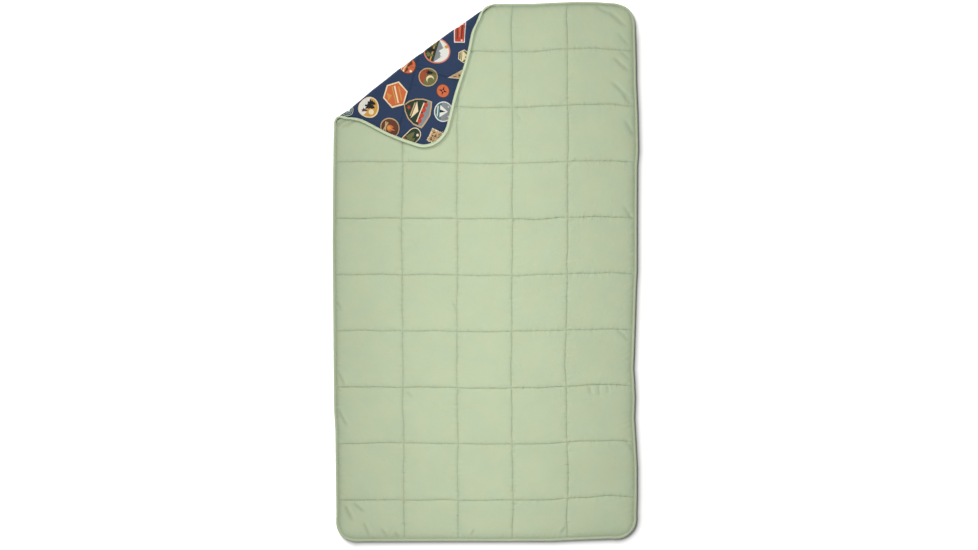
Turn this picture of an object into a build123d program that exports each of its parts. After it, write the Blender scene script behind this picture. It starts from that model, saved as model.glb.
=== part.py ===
from build123d import *
import math
import os

# Quilted camp blanket laid out flat, its head left corner turned back over the
# top so that the printed liner shows. Millimetres. Z is up, the floor is z = 0,
# +Y runs to the head end, and the origin is under the middle of the blanket.
# Every layer is built flat and whole, then cut into the head, middle and foot
# parts, the turned-back corner and the bend that joins it to the head part.

# ---- overall sizes
WIDTH = 1080.0          # across, X
LENGTH = 1925.0         # along, Y
CORNER_R = 88.0         # rounded corners of the outline
LOFT = 13.0             # thickness over a filled square
STITCH_Z = 6.0          # height at which shell and liner meet along a seam
FABRIC = 0.5            # thickness of shell and of liner
RAMP = 25.0             # width over which a puff climbs from its seam
HEM = 16.0              # flat hem, from the outer edge to the first puff
HALF_WIDTH, HALF_LENGTH = WIDTH / 2, LENGTH / 2

# ---- quilting grid: rows count from the head, columns from the left
ROW_PITCH = 201.0
FIRST_ROW_SEAM = 793.0
COLUMN_PITCH = 196.0
ROW_SEAMS = [FIRST_ROW_SEAM - ROW_PITCH * i for i in range(9)]
COLUMN_SEAMS = [COLUMN_PITCH * (i - 1.5) for i in range(4)]
ROW_EDGES = [HALF_LENGTH - HEM] + ROW_SEAMS + [-HALF_LENGTH + HEM]
COLUMN_EDGES = [-HALF_WIDTH + HEM] + COLUMN_SEAMS + [HALF_WIDTH - HEM]
LAST_ROW, LAST_COLUMN = len(ROW_EDGES) - 2, len(COLUMN_EDGES) - 2
SQUARES = [(row, col) for row in range(LAST_ROW + 1) for col in range(LAST_COLUMN + 1)]

# ---- fill
FILL_GAP = 0.05             # the fill stays this far off the fabric
RIM_GAP = FILL_GAP + 0.02   # and a little further at its rim
FILL_RIM = 2.0              # the rim's distance from the seam

# ---- edge binding: a tape folded round a filler cord
CORD_R = 3.8
TAPE_R = 4.5            # outer radius of the tape round the cord
TAPE_T = 0.6
SHEET_GAP = 0.1         # shell and liner stop this far from the cord
SLIT_W = 3.0            # slit in the tape that lets shell and liner in
SLIT_OVERRUN = 0.6      # the slit runs this far out of the tape's tube
LEG_OVERLAP = 0.55      # the tape's legs start this far inside its tube
LEG_END = 15.0          # and reach this far in from the outer edge
EDGE_STITCH = 12.5      # the row of edge stitching, measured from the outer edge

# ---- threads
THREAD_W = 0.9
THREAD_T = 0.5
THREAD_TAPER = 0.6      # top width of a column thread, as a share of its base
THREAD_LIFT = 0.13      # the thread bridges the bottom of the seam's valley
HUMP = 0.55             # a row thread steps over a column thread by this much
HUMP_TOP = 0.9          # half width of the step at its top
HUMP_FOOT = 2.4         # and at its foot
SEW_Z = STITCH_Z + FABRIC + THREAD_LIFT

# ---- cuts between the head, middle and foot parts
SPLIT = 0.8             # a cut lies this far past its seam, towards the foot
HALF_FOLD_Y = ROW_SEAMS[4] - SPLIT
FOOT_FOLD_Y = ROW_SEAMS[7] - SPLIT

# ---- the turned-back corner
FOLD_Z = 13.5                    # height of the fold axis, just over the puffs
FOLD_POINT = (-245.4, 748.2)     # a point on the line where the corner starts to bend
FOLD_ANGLE = 36.4                # of the fold line, from +X
BEND = math.pi * FOLD_Z          # length of cloth that the half turn uses up

# ---- cutting blocks, all larger than what they cut
BLOCK_REACH = 3000.0
BLOCK_FLOOR = -50.0
BAND_H = 200.0
FOLD_BLOCK_H = 150.0
FOLD_BLOCK_S = (-1.0, 40.0)      # how far a fold block reaches, out from the fold line
FOLD_BLOCK_MARGIN = 200.0        # and along the fold, past the hem's inner side
MIN_VOLUME = MIN_AREA = 1e-3     # smaller scraps of a cut are dropped


# ---------------------------------------------------------------- helpers
def solids_of(shape):
    """All the solids in a shape, or in a nested list of shapes."""
    if isinstance(shape, (list, tuple)):
        return [solid for item in shape for solid in solids_of(item)]
    return list(shape.solids())


def with_mirror_in_z(shape):
    """The shape, and its copy turned over about the height where the seams lie."""
    return [shape, shape.mirror(Plane((0, 0, STITCH_Z), z_dir=(0, 0, 1)))]


def outline(x0, x1, y0, y1, z, radii):
    """A closed wire round a rectangle at height z. radii are of the corners
    (x0,y0), (x1,y0), (x1,y1), (x0,y1); 0 is a sharp one."""
    corners = [Vector(x, y, z) for x, y in ((x0, y0), (x1, y0), (x1, y1), (x0, y1))]
    arcs = []
    for i, corner in enumerate(corners):
        back = (corners[i - 1] - corner).normalized()
        ahead = (corners[(i + 1) % 4] - corner).normalized()
        start, end = corner + back * radii[i], corner + ahead * radii[i]
        middle = corner + (back + ahead) * (radii[i] * (1 - math.sqrt(0.5)))
        arcs.append((start, middle, end))
    edges = []
    for i, (start, middle, end) in enumerate(arcs):
        if radii[i] > 0:
            edges.append(Edge.make_three_point_arc(start, middle, end))
        edges.append(Edge.make_line(end, arcs[(i + 1) % 4][0]))
    return Wire(edges)


def square_wire(row, col, inset, z):
    """The outline of one quilted square, pulled in by inset, at height z."""
    radius = CORNER_R - HEM - inset
    radii = [radius if (row, col) == blanket_corner else 0
             for blanket_corner in ((LAST_ROW, 0), (LAST_ROW, LAST_COLUMN), (0, LAST_COLUMN), (0, 0))]
    return outline(COLUMN_EDGES[col] + inset, COLUMN_EDGES[col + 1] - inset,
                   ROW_EDGES[row + 1] + inset, ROW_EDGES[row] - inset, z, radii)


def square_loft(row, col, stations):
    """A loft over one square through (inset, z) stations."""
    return Solid.make_loft([square_wire(row, col, inset, z) for inset, z in stations], ruled=True)


def ring(inset_out, inset_in, z0, z1):
    """A flat ring that follows the blanket's outline between two insets."""
    def plate(inset):
        x, y = HALF_WIDTH - inset, HALF_LENGTH - inset
        face = Face(outline(-x, x, -y, y, z0, [CORNER_R - inset] * 4))
        return Solid.extrude(face, Vector(0, 0, z1 - z0))
    return plate(inset_out) - plate(inset_in)


# ---------------------------------------------------------------- flat blanket
def quilted_sheet(crest_z, fabric):
    """One sheet that rises to crest_z over every square and comes back to each seam.
    fabric is its thickness, positive for an upward sheet and negative for a downward one."""
    caps = []
    for row, col in SQUARES:
        outer = square_loft(row, col, [(0, STITCH_Z), (0, STITCH_Z + fabric), (RAMP, crest_z)])
        inner = square_loft(row, col, [(0, STITCH_Z), (RAMP, crest_z - fabric)])
        caps.append(solids_of(outer - inner)[0])
    low, high = sorted((STITCH_Z, STITCH_Z + fabric))
    hem = solids_of(ring(CORD_R + TAPE_R + SHEET_GAP, HEM, low, high))[0]
    return solids_of(hem.fuse(*caps))


def fill_pads():
    """One pad of synthetic fill in every quilted square."""
    climb = FILL_RIM / RAMP
    rim_high = STITCH_Z + (LOFT - FABRIC - STITCH_Z) * climb - RIM_GAP
    rim_low = STITCH_Z - (STITCH_Z - FABRIC) * climb + RIM_GAP
    stations = [(RAMP, FABRIC + FILL_GAP), (FILL_RIM, rim_low),
                (FILL_RIM, rim_high), (RAMP, LOFT - FABRIC - FILL_GAP)]
    return [square_loft(row, col, stations) for row, col in SQUARES]


def round_the_edge(sketch):
    """Carries a section, drawn in the XZ plane at the right edge, round the whole
    outline: four straight runs and four quarter turns."""
    x_turn, y_turn = HALF_WIDTH - CORNER_R, HALF_LENGTH - CORNER_R
    turn_axis = Axis((x_turn, y_turn, 0), (0, 0, 1))
    runs = []
    for face in (Plane.XZ * sketch).faces():
        at_turn = face.moved(Location((0, y_turn, 0)))
        right = Solid.extrude(face.moved(Location((0, -y_turn, 0))), Vector(0, 2 * y_turn, 0))
        turn = Solid.revolve(at_turn, 90, turn_axis)
        head = Solid.extrude(at_turn.rotate(turn_axis, 90), Vector(-2 * x_turn, 0, 0))
        left_turn = turn.mirror(Plane.YZ)
        runs += solids_of(right.fuse(head, turn, left_turn) if False else right.fuse(
            turn, head, left_turn, right.mirror(Plane.YZ), head.mirror(Plane.XZ),
            turn.mirror(Plane.XZ), left_turn.mirror(Plane.XZ)))
    return runs


def edge_binding():
    """The tape: a slit tube round the cord, with a leg above and a leg below the hem."""
    tube = Pos(HALF_WIDTH - TAPE_R, STITCH_Z) * (Circle(TAPE_R) - Circle(TAPE_R - TAPE_T))
    slit_x = HALF_WIDTH - 2 * TAPE_R + SLIT_W / 2 - SLIT_OVERRUN
    slit = Pos(slit_x, STITCH_Z) * Rectangle(SLIT_W, 2 * FABRIC)
    leg_start = 2 * TAPE_R - LEG_OVERLAP
    leg_x = HALF_WIDTH - (leg_start + LEG_END) / 2
    leg = Rectangle(LEG_END - leg_start, FABRIC)
    leg_above = Pos(leg_x, STITCH_Z + 1.5 * FABRIC) * leg
    leg_below = Pos(leg_x, STITCH_Z - 1.5 * FABRIC) * leg
    return round_the_edge(tube - slit + leg_above + leg_below)


def edge_cord():
    return round_the_edge(Pos(HALF_WIDTH - TAPE_R, STITCH_Z) * Circle(CORD_R))


def edge_stitching():
    """A needle thread on the upper leg of the tape and a bobbin thread under the lower."""
    inset_out, inset_in = EDGE_STITCH - THREAD_W / 2, EDGE_STITCH + THREAD_W / 2
    upper_z = STITCH_Z + 2 * FABRIC
    lower_z = STITCH_Z - 2 * FABRIC
    return (solids_of(ring(inset_out, inset_in, upper_z, upper_z + THREAD_T))
            + solids_of(ring(inset_out, inset_in, lower_z - THREAD_T, lower_z)))


# Quilting threads: the needle thread lies on the shell, the bobbin on the liner.
def column_thread(x):
    head_y, foot_y = ROW_EDGES[0], ROW_EDGES[-1]
    base = THREAD_W / 2
    top = base * THREAD_TAPER
    section = Face(Wire.make_polygon([(x - base, foot_y, SEW_Z), (x + base, foot_y, SEW_Z),
                                      (x + top, foot_y, SEW_Z + THREAD_T),
                                      (x - top, foot_y, SEW_Z + THREAD_T)], close=True))
    return with_mirror_in_z(Solid.extrude(section, Vector(0, head_y - foot_y, 0)))


def row_thread(y):
    """A thread along X that steps over each column thread."""
    underside = [(COLUMN_EDGES[0], 0.0)]
    for seam_x in COLUMN_SEAMS:
        underside += [(seam_x - HUMP_FOOT, 0.0), (seam_x - HUMP_TOP, HUMP),
                      (seam_x + HUMP_TOP, HUMP), (seam_x + HUMP_FOOT, 0.0)]
    underside.append((COLUMN_EDGES[-1], 0.0))
    side_y = y - THREAD_W / 2
    loop = [(x, side_y, SEW_Z + rise) for x, rise in underside]
    loop += [(x, side_y, SEW_Z + rise + THREAD_T) for x, rise in reversed(underside)]
    section = Face(Wire.make_polygon(loop, close=True))
    return with_mirror_in_z(Solid.extrude(section, Vector(0, THREAD_W, 0)))


# ---------------------------------------------------------------- fold frame and cuts
# Places near the fold are given as t along the fold line and s out from it,
# towards the corner.
ANGLE = math.radians(FOLD_ANGLE)
ALONG = Vector(math.cos(ANGLE), math.sin(ANGLE), 0)
OUT = Vector(-math.sin(ANGLE), math.cos(ANGLE), 0)
ORIGIN = Vector(*FOLD_POINT, 0)
AXIS_POINT = ORIGIN + Vector(0, 0, FOLD_Z)
BEND_AXIS = Axis(tuple(AXIS_POINT), tuple(ALONG))                      # the bend curls round this
CORNER_AXIS = Axis(tuple(AXIS_POINT + OUT * (BEND / 2)), tuple(ALONG))  # the corner turns here


def beyond(s):
    """Everything further out than s from the line where the bend starts."""
    at = ORIGIN + OUT * s - ALONG * BLOCK_REACH + Vector(0, 0, BLOCK_REACH)
    plane = Plane(origin=tuple(at), x_dir=tuple(ALONG), z_dir=tuple(OUT))
    return Solid.make_box(2 * BLOCK_REACH, 2 * BLOCK_REACH, BLOCK_REACH, plane)


def band(y0, depth):
    """A block right across the blanket, from y0 towards the head."""
    return Solid.make_box(2 * BLOCK_REACH, depth, BAND_H, Plane((-BLOCK_REACH, y0, BLOCK_FLOOR)))


BEND_SIDE, CORNER_SIDE = beyond(0), beyond(BEND)
HEAD_BLOCK = band(HALF_FOLD_Y, BLOCK_REACH)
MIDDLE_BLOCK = band(FOOT_FOLD_Y, HALF_FOLD_Y - FOOT_FOLD_Y)
FOOT_BLOCK = band(FOOT_FOLD_Y - BLOCK_REACH, BLOCK_REACH)


def real_solids(shape):
    return [solid for solid in solids_of(shape) if solid.volume > MIN_VOLUME]


def common(shapes, block):
    """What lies inside the block."""
    kept = []
    for solid in solids_of(shapes):
        overlap = solid.intersect(block)
        if overlap is not None:
            kept += real_solids(overlap)
    return kept


def head_part(shapes):
    """The head part, up to the line where the bend starts."""
    return [piece for solid in common(shapes, HEAD_BLOCK)
            for piece in real_solids(solid.cut(BEND_SIDE))]


def corner_part(shapes):
    """The part past the bend, turned over on to the blanket."""
    return [solid.rotate(CORNER_AXIS, 180) for solid in common(shapes, CORNER_SIDE)]


# ---------------------------------------------------------------- bend
# The bend is a half turn of cloth. Its lower quarter continues the section that the
# head part ends in, and its upper quarter the section that the corner starts in.
# The blanket's edges run on in their own direction round the bend, so there the
# section also slides along the fold as it swings out.
EDGE_REACH = FOLD_Z - STITCH_Z       # how far the edge cord stands out
# slide along the fold for every millimetre out, at the head edge and the left edge
SLIDE_HEAD = (BEND / 2) * ALONG.X / ALONG.Y / EDGE_REACH
SLIDE_LEFT = -(BEND / 2) * ALONG.Y / ALONG.X / EDGE_REACH


def hem_ends(s):
    """The t at which the line at s meets the hem's inner side: left edge, head edge."""
    point = ORIGIN + OUT * s
    return (COLUMN_EDGES[0] - point.X) / ALONG.X, (ROW_EDGES[0] - point.Y) / ALONG.Y


def fold_faces(solids, s):
    """The faces that the upright plane at s leaves on these solids."""
    found = []
    for solid in solids:
        for face in solid.faces():
            if face.geom_type != GeomType.PLANE:
                continue
            offset = (face.center() - ORIGIN).dot(OUT) - s
            if abs(offset) < 1e-4 and abs(abs(face.normal_at().dot(OUT)) - 1) < 1e-6:
                found.append(face)
    return found


def sheared(solid, slide):
    """Slides a solid along the fold by slide for every millimetre it stands out."""
    shift = slide * ORIGIN.dot(OUT)
    return solid.transform_geometry(Matrix([
        [1 - slide * ALONG.X * OUT.X, -slide * ALONG.X * OUT.Y, 0, shift * ALONG.X],
        [-slide * ALONG.Y * OUT.X, 1 - slide * ALONG.Y * OUT.Y, 0, shift * ALONG.Y],
        [0, 0, 1, 0],
        [0, 0, 0, 1],
    ]))


def block_along(t0, t1, lean=(0.0, 0.0)):
    """A tall block over the fold from t0 to t1; its two ends lean by lean."""
    def corner(t, slide, s):
        return tuple(ORIGIN + ALONG * (t - slide * s) + OUT * s + Vector(0, 0, BLOCK_FLOOR))
    near, far = FOLD_BLOCK_S
    base = Wire.make_polygon([corner(t0, lean[0], near), corner(t1, lean[1], near),
                              corner(t1, lean[1], far), corner(t0, lean[0], far)], close=True)
    return Solid.extrude(Face(base), Vector(0, 0, FOLD_BLOCK_H))


def quarter_turn(shapes, upper, rim):
    """The lower or the upper quarter turn of these layers. rim keeps its middle
    stretch this far from the hem."""
    if upper:
        s, sign = BEND, -1.0
        faces = [face.rotate(CORNER_AXIS, 180)
                 for face in fold_faces(common(shapes, CORNER_SIDE), BEND)]
    else:
        s, sign = 0.0, 1.0
        faces = fold_faces(head_part(shapes), 0.0)
    t_left, t_head = hem_ends(s)
    lean = (sign * SLIDE_LEFT, sign * SLIDE_HEAD)
    middle = block_along(t_left + rim / ALONG.X, t_head - rim / ALONG.Y, lean)
    # (block, slide) for the head hem, the left hem and the quilted stretch between
    zones = [(block_along(t_head, t_head + FOLD_BLOCK_MARGIN), lean[1]),
             (block_along(t_left - FOLD_BLOCK_MARGIN, t_left), lean[0]),
             (block_along(t_left, t_head), None)]
    turned = []
    for face in faces:
        for block, slide in zones:
            overlap = face.intersect(block)
            if overlap is None:
                continue
            for piece in overlap.faces():
                if piece.area < MIN_AREA:
                    continue
                swung = solids_of(Solid.revolve(piece, sign * 90, BEND_AXIS))
                if slide is None:
                    turned += common(swung, middle)
                else:
                    turned += solids_of([sheared(solid, slide) for solid in swung])
    return turned


def bend_part(shapes, rim=0.0):
    """The half turn that joins the head part to the turned-back corner."""
    return quarter_turn(shapes, False, rim) + quarter_turn(shapes, True, rim)


# ---------------------------------------------------------------- parts
parts = {}
stitching_bends = []


def add_bands(name, shapes):
    parts[name + "_head"] = head_part(shapes)
    parts[name + "_middle"] = common(shapes, MIDDLE_BLOCK)
    parts[name + "_foot"] = common(shapes, FOOT_BLOCK)


def add_turned_thread(name, threads):
    """The corner part and the bend of the threads that reach the turned-back corner."""
    turned = corner_part(threads)
    if turned:
        parts[name + "_corner"] = turned
        stitching_bends.extend(bend_part(threads))


def add_layers():
    layers = {
        "outer_shell": quilted_sheet(LOFT, FABRIC),
        "printed_liner": quilted_sheet(0.0, -FABRIC),
        "fill_pads": fill_pads(),
        "edge_binding": edge_binding(),
        "edge_cord": edge_cord(),
    }
    for name, shapes in layers.items():
        add_bands(name, shapes)
        parts[name + "_corner"] = corner_part(shapes)
        rim = FILL_RIM if name == "fill_pads" else 0.0
        parts[name + "_fold_bend"] = bend_part(shapes, rim)


def add_threads():
    edge_threads = edge_stitching()
    add_bands("edge_stitching", edge_threads)
    add_turned_thread("edge_stitching", edge_threads)
    for i, y in enumerate(ROW_SEAMS):
        name = f"quilting_thread_row_{i + 1}"
        threads = row_thread(y)
        if y > HALF_FOLD_Y:
            parts[name] = head_part(threads)
            add_turned_thread(name, threads)
        else:
            parts[name] = common(threads, MIDDLE_BLOCK if y > FOOT_FOLD_Y else FOOT_BLOCK)
    for i, x in enumerate(COLUMN_SEAMS):
        name = f"quilting_thread_column_{i + 1}"
        threads = column_thread(x)
        add_bands(name, threads)
        add_turned_thread(name, threads)
    parts["stitching_fold_bend"] = stitching_bends


add_layers()
add_threads()
os.makedirs("parts", exist_ok=True)
for name, shapes in parts.items():
    body = shapes[0] if len(shapes) == 1 else Compound(children=shapes)
    export_step(body, f"parts/{name}.step")
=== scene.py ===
"""Looks of the quilted camp blanket: shell and liner by cloth simulation, printed
liner cut along its motifs, corded binding, and every stitch, in the CAD's frame."""

import bpy
import math
import numpy as np
from mathutils.geometry import delaunay_2d_cdt
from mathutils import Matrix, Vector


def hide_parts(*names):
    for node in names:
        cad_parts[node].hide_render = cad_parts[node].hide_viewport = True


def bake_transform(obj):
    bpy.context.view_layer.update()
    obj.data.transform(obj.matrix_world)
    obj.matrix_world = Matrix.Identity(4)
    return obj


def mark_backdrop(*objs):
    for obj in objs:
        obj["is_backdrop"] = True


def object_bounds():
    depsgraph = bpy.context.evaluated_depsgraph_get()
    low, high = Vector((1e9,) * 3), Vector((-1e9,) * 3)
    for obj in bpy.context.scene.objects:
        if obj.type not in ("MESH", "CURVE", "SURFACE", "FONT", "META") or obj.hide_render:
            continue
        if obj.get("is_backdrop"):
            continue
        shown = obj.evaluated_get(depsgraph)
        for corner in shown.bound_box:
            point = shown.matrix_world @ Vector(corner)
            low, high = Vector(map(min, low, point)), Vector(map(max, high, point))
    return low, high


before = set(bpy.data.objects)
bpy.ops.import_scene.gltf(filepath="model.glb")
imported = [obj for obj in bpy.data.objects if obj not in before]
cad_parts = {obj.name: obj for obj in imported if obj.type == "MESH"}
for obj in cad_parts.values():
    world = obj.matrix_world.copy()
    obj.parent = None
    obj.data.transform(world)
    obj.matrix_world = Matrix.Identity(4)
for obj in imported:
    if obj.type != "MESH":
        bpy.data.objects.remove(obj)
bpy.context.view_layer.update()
MM = 0.001

# ------------------------------------------------------------------ dimensions (mm)
HX, HY = 540.0, 962.5
CORNER_R = 88.0
ROW_SEAMS = [793.0, 592.0, 391.0, 190.0, -11.0, -212.0, -413.0, -614.0, -815.0]
COL_SEAMS = [-294.0, -98.0, 98.0, 294.0]
SEAM_Z = 6.0
HEM = 9.0
FOLD_Z = 13.5
FOLD_P = np.array([-245.4, 748.2])
FOLD_A = math.radians(36.4)
ALONG = np.array([math.cos(FOLD_A), math.sin(FOLD_A)])
OUT = np.array([-math.sin(FOLD_A), math.cos(FOLD_A)])
BEND = math.pi * FOLD_Z
SPLIT_1, SPLIT_2 = 190.0, -413.0       # the meshes part at these seams
TOP_Z = 12.9                           # no cloth of the lower layer comes above this
STEP = 6.1

# photo measurements of the outline, as offsets in mm from the straight edges
PX = 3.564


def px_y(v):
    return (271.5 - np.asarray(v, float)) * PX


def px_x(v):
    return (np.asarray(v, float) - 485.0) * PX


LEFT_Y = px_y([540, 530, 510, 470, 430, 410, 360, 300, 240, 180, 140, 100, 0])
LEFT_D = (np.array([336.0, 336.2, 336.2, 335.7, 335.2, 334, 333.5, 333, 332.5, 333, 333.5, 333.5, 333.5]) - 333.5) * PX
RIGHT_Y = px_y([541, 520, 500, 470, 450, 420, 400, 382, 370, 355, 325, 290, 270, 215, 165, 150, 140, 110, 80, 60, 30, 20, 5])
RIGHT_D = (np.array([636.4, 636.4, 637, 637, 636, 634.3, 635, 634.3, 633.4, 634, 635, 636, 637, 637, 637.3, 638.4, 638.2, 637.5, 636.2, 636, 635.2, 635.2, 636]) - 636.5) * PX
TOP_X = px_x([440, 484, 500, 534, 554, 574, 596, 608, 622, 640])
TOP_D = -(np.array([2.5, 3.6, 3.6, 3.6, 2.6, 1.8, 2.0, 2.8, 4.0, 4.0]) - 1.5) * PX
BOT_X = px_x([330, 354, 554, 574, 594, 610, 640])
BOT_D = -(np.array([541.5, 541.3, 541, 540, 539.2, 538.6, 538.6]) - 541.5) * PX


def smooth01(t):
    t = np.clip(t, 0, 1)
    return t * t * (3 - 2 * t)


def waves(x, y, seed, scale):
    """Smooth repeatable noise about -1..1 from a few crossed sines."""
    r = np.random.default_rng(seed)
    out = np.zeros(np.broadcast(x, y).shape)
    for k in range(7):
        a = r.uniform(0, 2 * math.pi)
        f = r.uniform(0.6, 1.6) / scale
        out = out + np.sin((x * math.cos(a) + y * math.sin(a)) * f * 2 * math.pi + r.uniform(0, 6.28))
    return out / 4.0


def lay(x, y):
    """Where a point of the true rectangle lies on this blanket: its edges and seams
    wander by a few millimetres."""
    u = smooth01((x + HX) / (2 * HX))
    dl = np.interp(y, LEFT_Y, LEFT_D)
    dr = np.interp(y, RIGHT_Y, RIGHT_D)
    dt = np.interp(x, TOP_X, TOP_D)
    db = np.interp(x, BOT_X, BOT_D)
    v = smooth01((y + HY) / (2 * HY))
    edge = np.clip(np.minimum(HX - np.abs(x), HY - np.abs(y)) / 90.0, 0, 1)
    dx = dl * (1 - u) ** 3 + dr * u ** 3 + 2.4 * waves(x, y, 5, 420.0) * edge
    tilt = 6.0 * smooth01((x - 150) / 380.0) - 3.5 * np.exp(-((x - 30) / 170.0) ** 2)
    dy = dt * v ** 4 + db * (1 - v) ** 4 + (tilt + 1.8 * waves(x, y, 9, 330.0)) * edge
    dy = dy + 1.3 * waves(x, y, 11, 95.0) * edge
    dx = dx + 1.3 * waves(x, y, 12, 95.0) * edge
    # the foot corners, and a little the head right one, are squarer than a true arc
    corner = (np.clip((np.abs(x) - HX + CORNER_R) / CORNER_R, 0, 1)
              * np.clip((np.abs(y) - HY + CORNER_R) / CORNER_R, 0, 1)
              * np.where(y < 0, 13.0, np.where(x > 0, 6.0, 0.0)))
    return x + dx + np.sign(x) * corner, y + dy + np.sign(y) * corner


# -------------------------------------------------------------- the turned-back corner
def to_st(x, y):
    return ((x - FOLD_P[0]) * OUT[0] + (y - FOLD_P[1]) * OUT[1],
            (x - FOLD_P[0]) * ALONG[0] + (y - FOLD_P[1]) * ALONG[1])


def to_xy(s, t):
    return FOLD_P[0] + s * OUT[0] + t * ALONG[0], FOLD_P[1] + s * OUT[1] + t * ALONG[1]


# how the limp corner really lies, against a stiff one: pulls at a few points (pixels)
PULLS = [((441, 151), (1.4, 4.6)), ((447, 122), (1.5, 0.8)), ((457, 92), (-0.2, 0.2)),
         ((470, 49), (-0.4, 0.0)), ((478, 20), (-2.0, 0.0)), ((417, 146), (-0.6, 6.4)),
         ((402, 140), (0.0, 5.4)), ((382, 130), (0.0, 3.4)), ((364, 121), (0.0, -1.2)),
         ((346, 116), (0.0, -1.6)), ((349, 110), (0, 0)), ((372, 92), (0, 0)), ((397, 72), (0, 0)),
         ((425, 50), (0, 0)), ((451, 30), (0, 0)), ((475, 13), (0, 0)), ((335, 121), (0, 0)), ((492, 3), (0, 0))]
_pp = np.array([(px_x(p[0]), px_y(p[1])) for p, d in PULLS])
_pd = np.array([(d[0] * PX, -d[1] * PX) for p, d in PULLS])
_SIG = 85.0
_K = np.exp(-((_pp[:, None, :] - _pp[None, :, :]) ** 2).sum(-1) / (2 * _SIG ** 2))
_W = np.linalg.solve(_K + 0.03 * np.eye(len(_pp)), _pd)


def pull(x, y):
    p = np.stack([x, y], -1)
    k = np.exp(-((p[..., None, :] - _pp) ** 2).sum(-1) / (2 * _SIG ** 2))
    d = k @ _W
    s, _ = to_st(x, y)
    f = smooth01((-s - 2.0) / 30.0)
    return d[..., 0] * f, d[..., 1] * f


# the fold line itself wanders: how far it lies inside the straight one (mm), along it
SWAY_T = [-345.0, -295.0, -240.0, -187.0, -125.0, -73.0, -9.0, 50.0, 114.0, 167.0, 240.0, 295.0, 345.0]
SWAY_D = [3.0, 9.0, 6.5, 2.6, 1.2, -1.2, -0.6, -0.6, 0.2, 0.4, 4.2, 3.0, 0.5]


def sway(x, y):
    s, t = to_st(x, y)
    d = np.interp(t, SWAY_T, SWAY_D) * smooth01((s + 60.0) / 55.0)
    return -d * OUT[0], -d * OUT[1]


def turn(x, y, z, split=True):
    """A point of the flat blanket, with its corner turned back."""
    x, y, z = (np.asarray(v, float) for v in (x, y, z))
    s, t = to_st(x, y)
    rho = np.maximum(FOLD_Z - z, 0.4)
    th = math.pi * np.clip(s / BEND, 0, 1)
    s2 = np.where(s <= 0, s, np.where(s >= BEND, BEND - s, rho * np.sin(th)))
    z2 = np.where(s <= 0, z, np.where(s >= BEND, 2 * FOLD_Z - z, FOLD_Z - rho * np.cos(th)))
    x2, y2 = to_xy(s2, t)
    dx, dy = pull(x2, y2)
    over = s >= BEND
    x2, y2 = x2 + np.where(over, dx, 0), y2 + np.where(over, dy, 0)
    dx, dy = sway(x2, y2)
    x2, y2 = x2 + dx, y2 + dy
    if split:
        z2 = np.where((z2 > 13.0) & (z2 < 13.5), 13.0, np.where((z2 >= 13.5) & (z2 < 14.0), 14.0, z2))
    return np.stack([x2, y2, z2], -1)


# ------------------------------------------------------------------------- the grid
def axis_of(breaks):
    out, marks = [], []
    for a, b in zip(breaks[:-1], breaks[1:]):
        n = max(4, int(round((b - a) / STEP)))
        marks.append(len(out))
        out += list(np.linspace(a, b, n + 1)[:-1])
    marks.append(len(out))
    out.append(breaks[-1])
    return np.array(out), marks


GA, IA = axis_of([-HX + HEM] + COL_SEAMS + [HX - HEM])
GB, IB = axis_of([-HY + HEM] + ROW_SEAMS[::-1] + [HY - HEM])
NA, NB = len(GA), len(GB)
GX, GY = np.meshgrid(GA, GB, indexing="ij")


def rounded(a, b):
    """Rounds the four corners of the sheet: the plain grid's corner squares are
    drawn in to quarter discs."""
    r = CORNER_R - HEM
    cx, cy = HX - CORNER_R, HY - CORNER_R
    x, y = np.array(a, float), np.array(b, float)
    for sx in (-1, 1):
        for sy in (-1, 1):
            u, v = (x * sx - cx) / r, (y * sy - cy) / r
            m = (u > 0) & (v > 0)
            uc, vc = np.clip(u, 0, 1), np.clip(v, 0, 1)
            uu = u * np.sqrt(1 - vc * vc / 2)
            vv = v * np.sqrt(1 - uc * uc / 2)
            x = np.where(m, (uu * r + cx) * sx, x)
            y = np.where(m, (vv * r + cy) * sy, y)
    return x, y


FX, FY = rounded(GX, GY)
PIN = np.zeros(GX.shape, bool)
for i in IA:
    PIN[i, :] = True
for j in IB:
    PIN[:, j] = True


def grid_faces():
    ii, jj = np.meshgrid(np.arange(NA - 1), np.arange(NB - 1), indexing="ij")
    a = (ii * NB + jj).ravel()
    return np.stack([a, a + NB, a + NB + 1, a + 1], 1)


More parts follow.
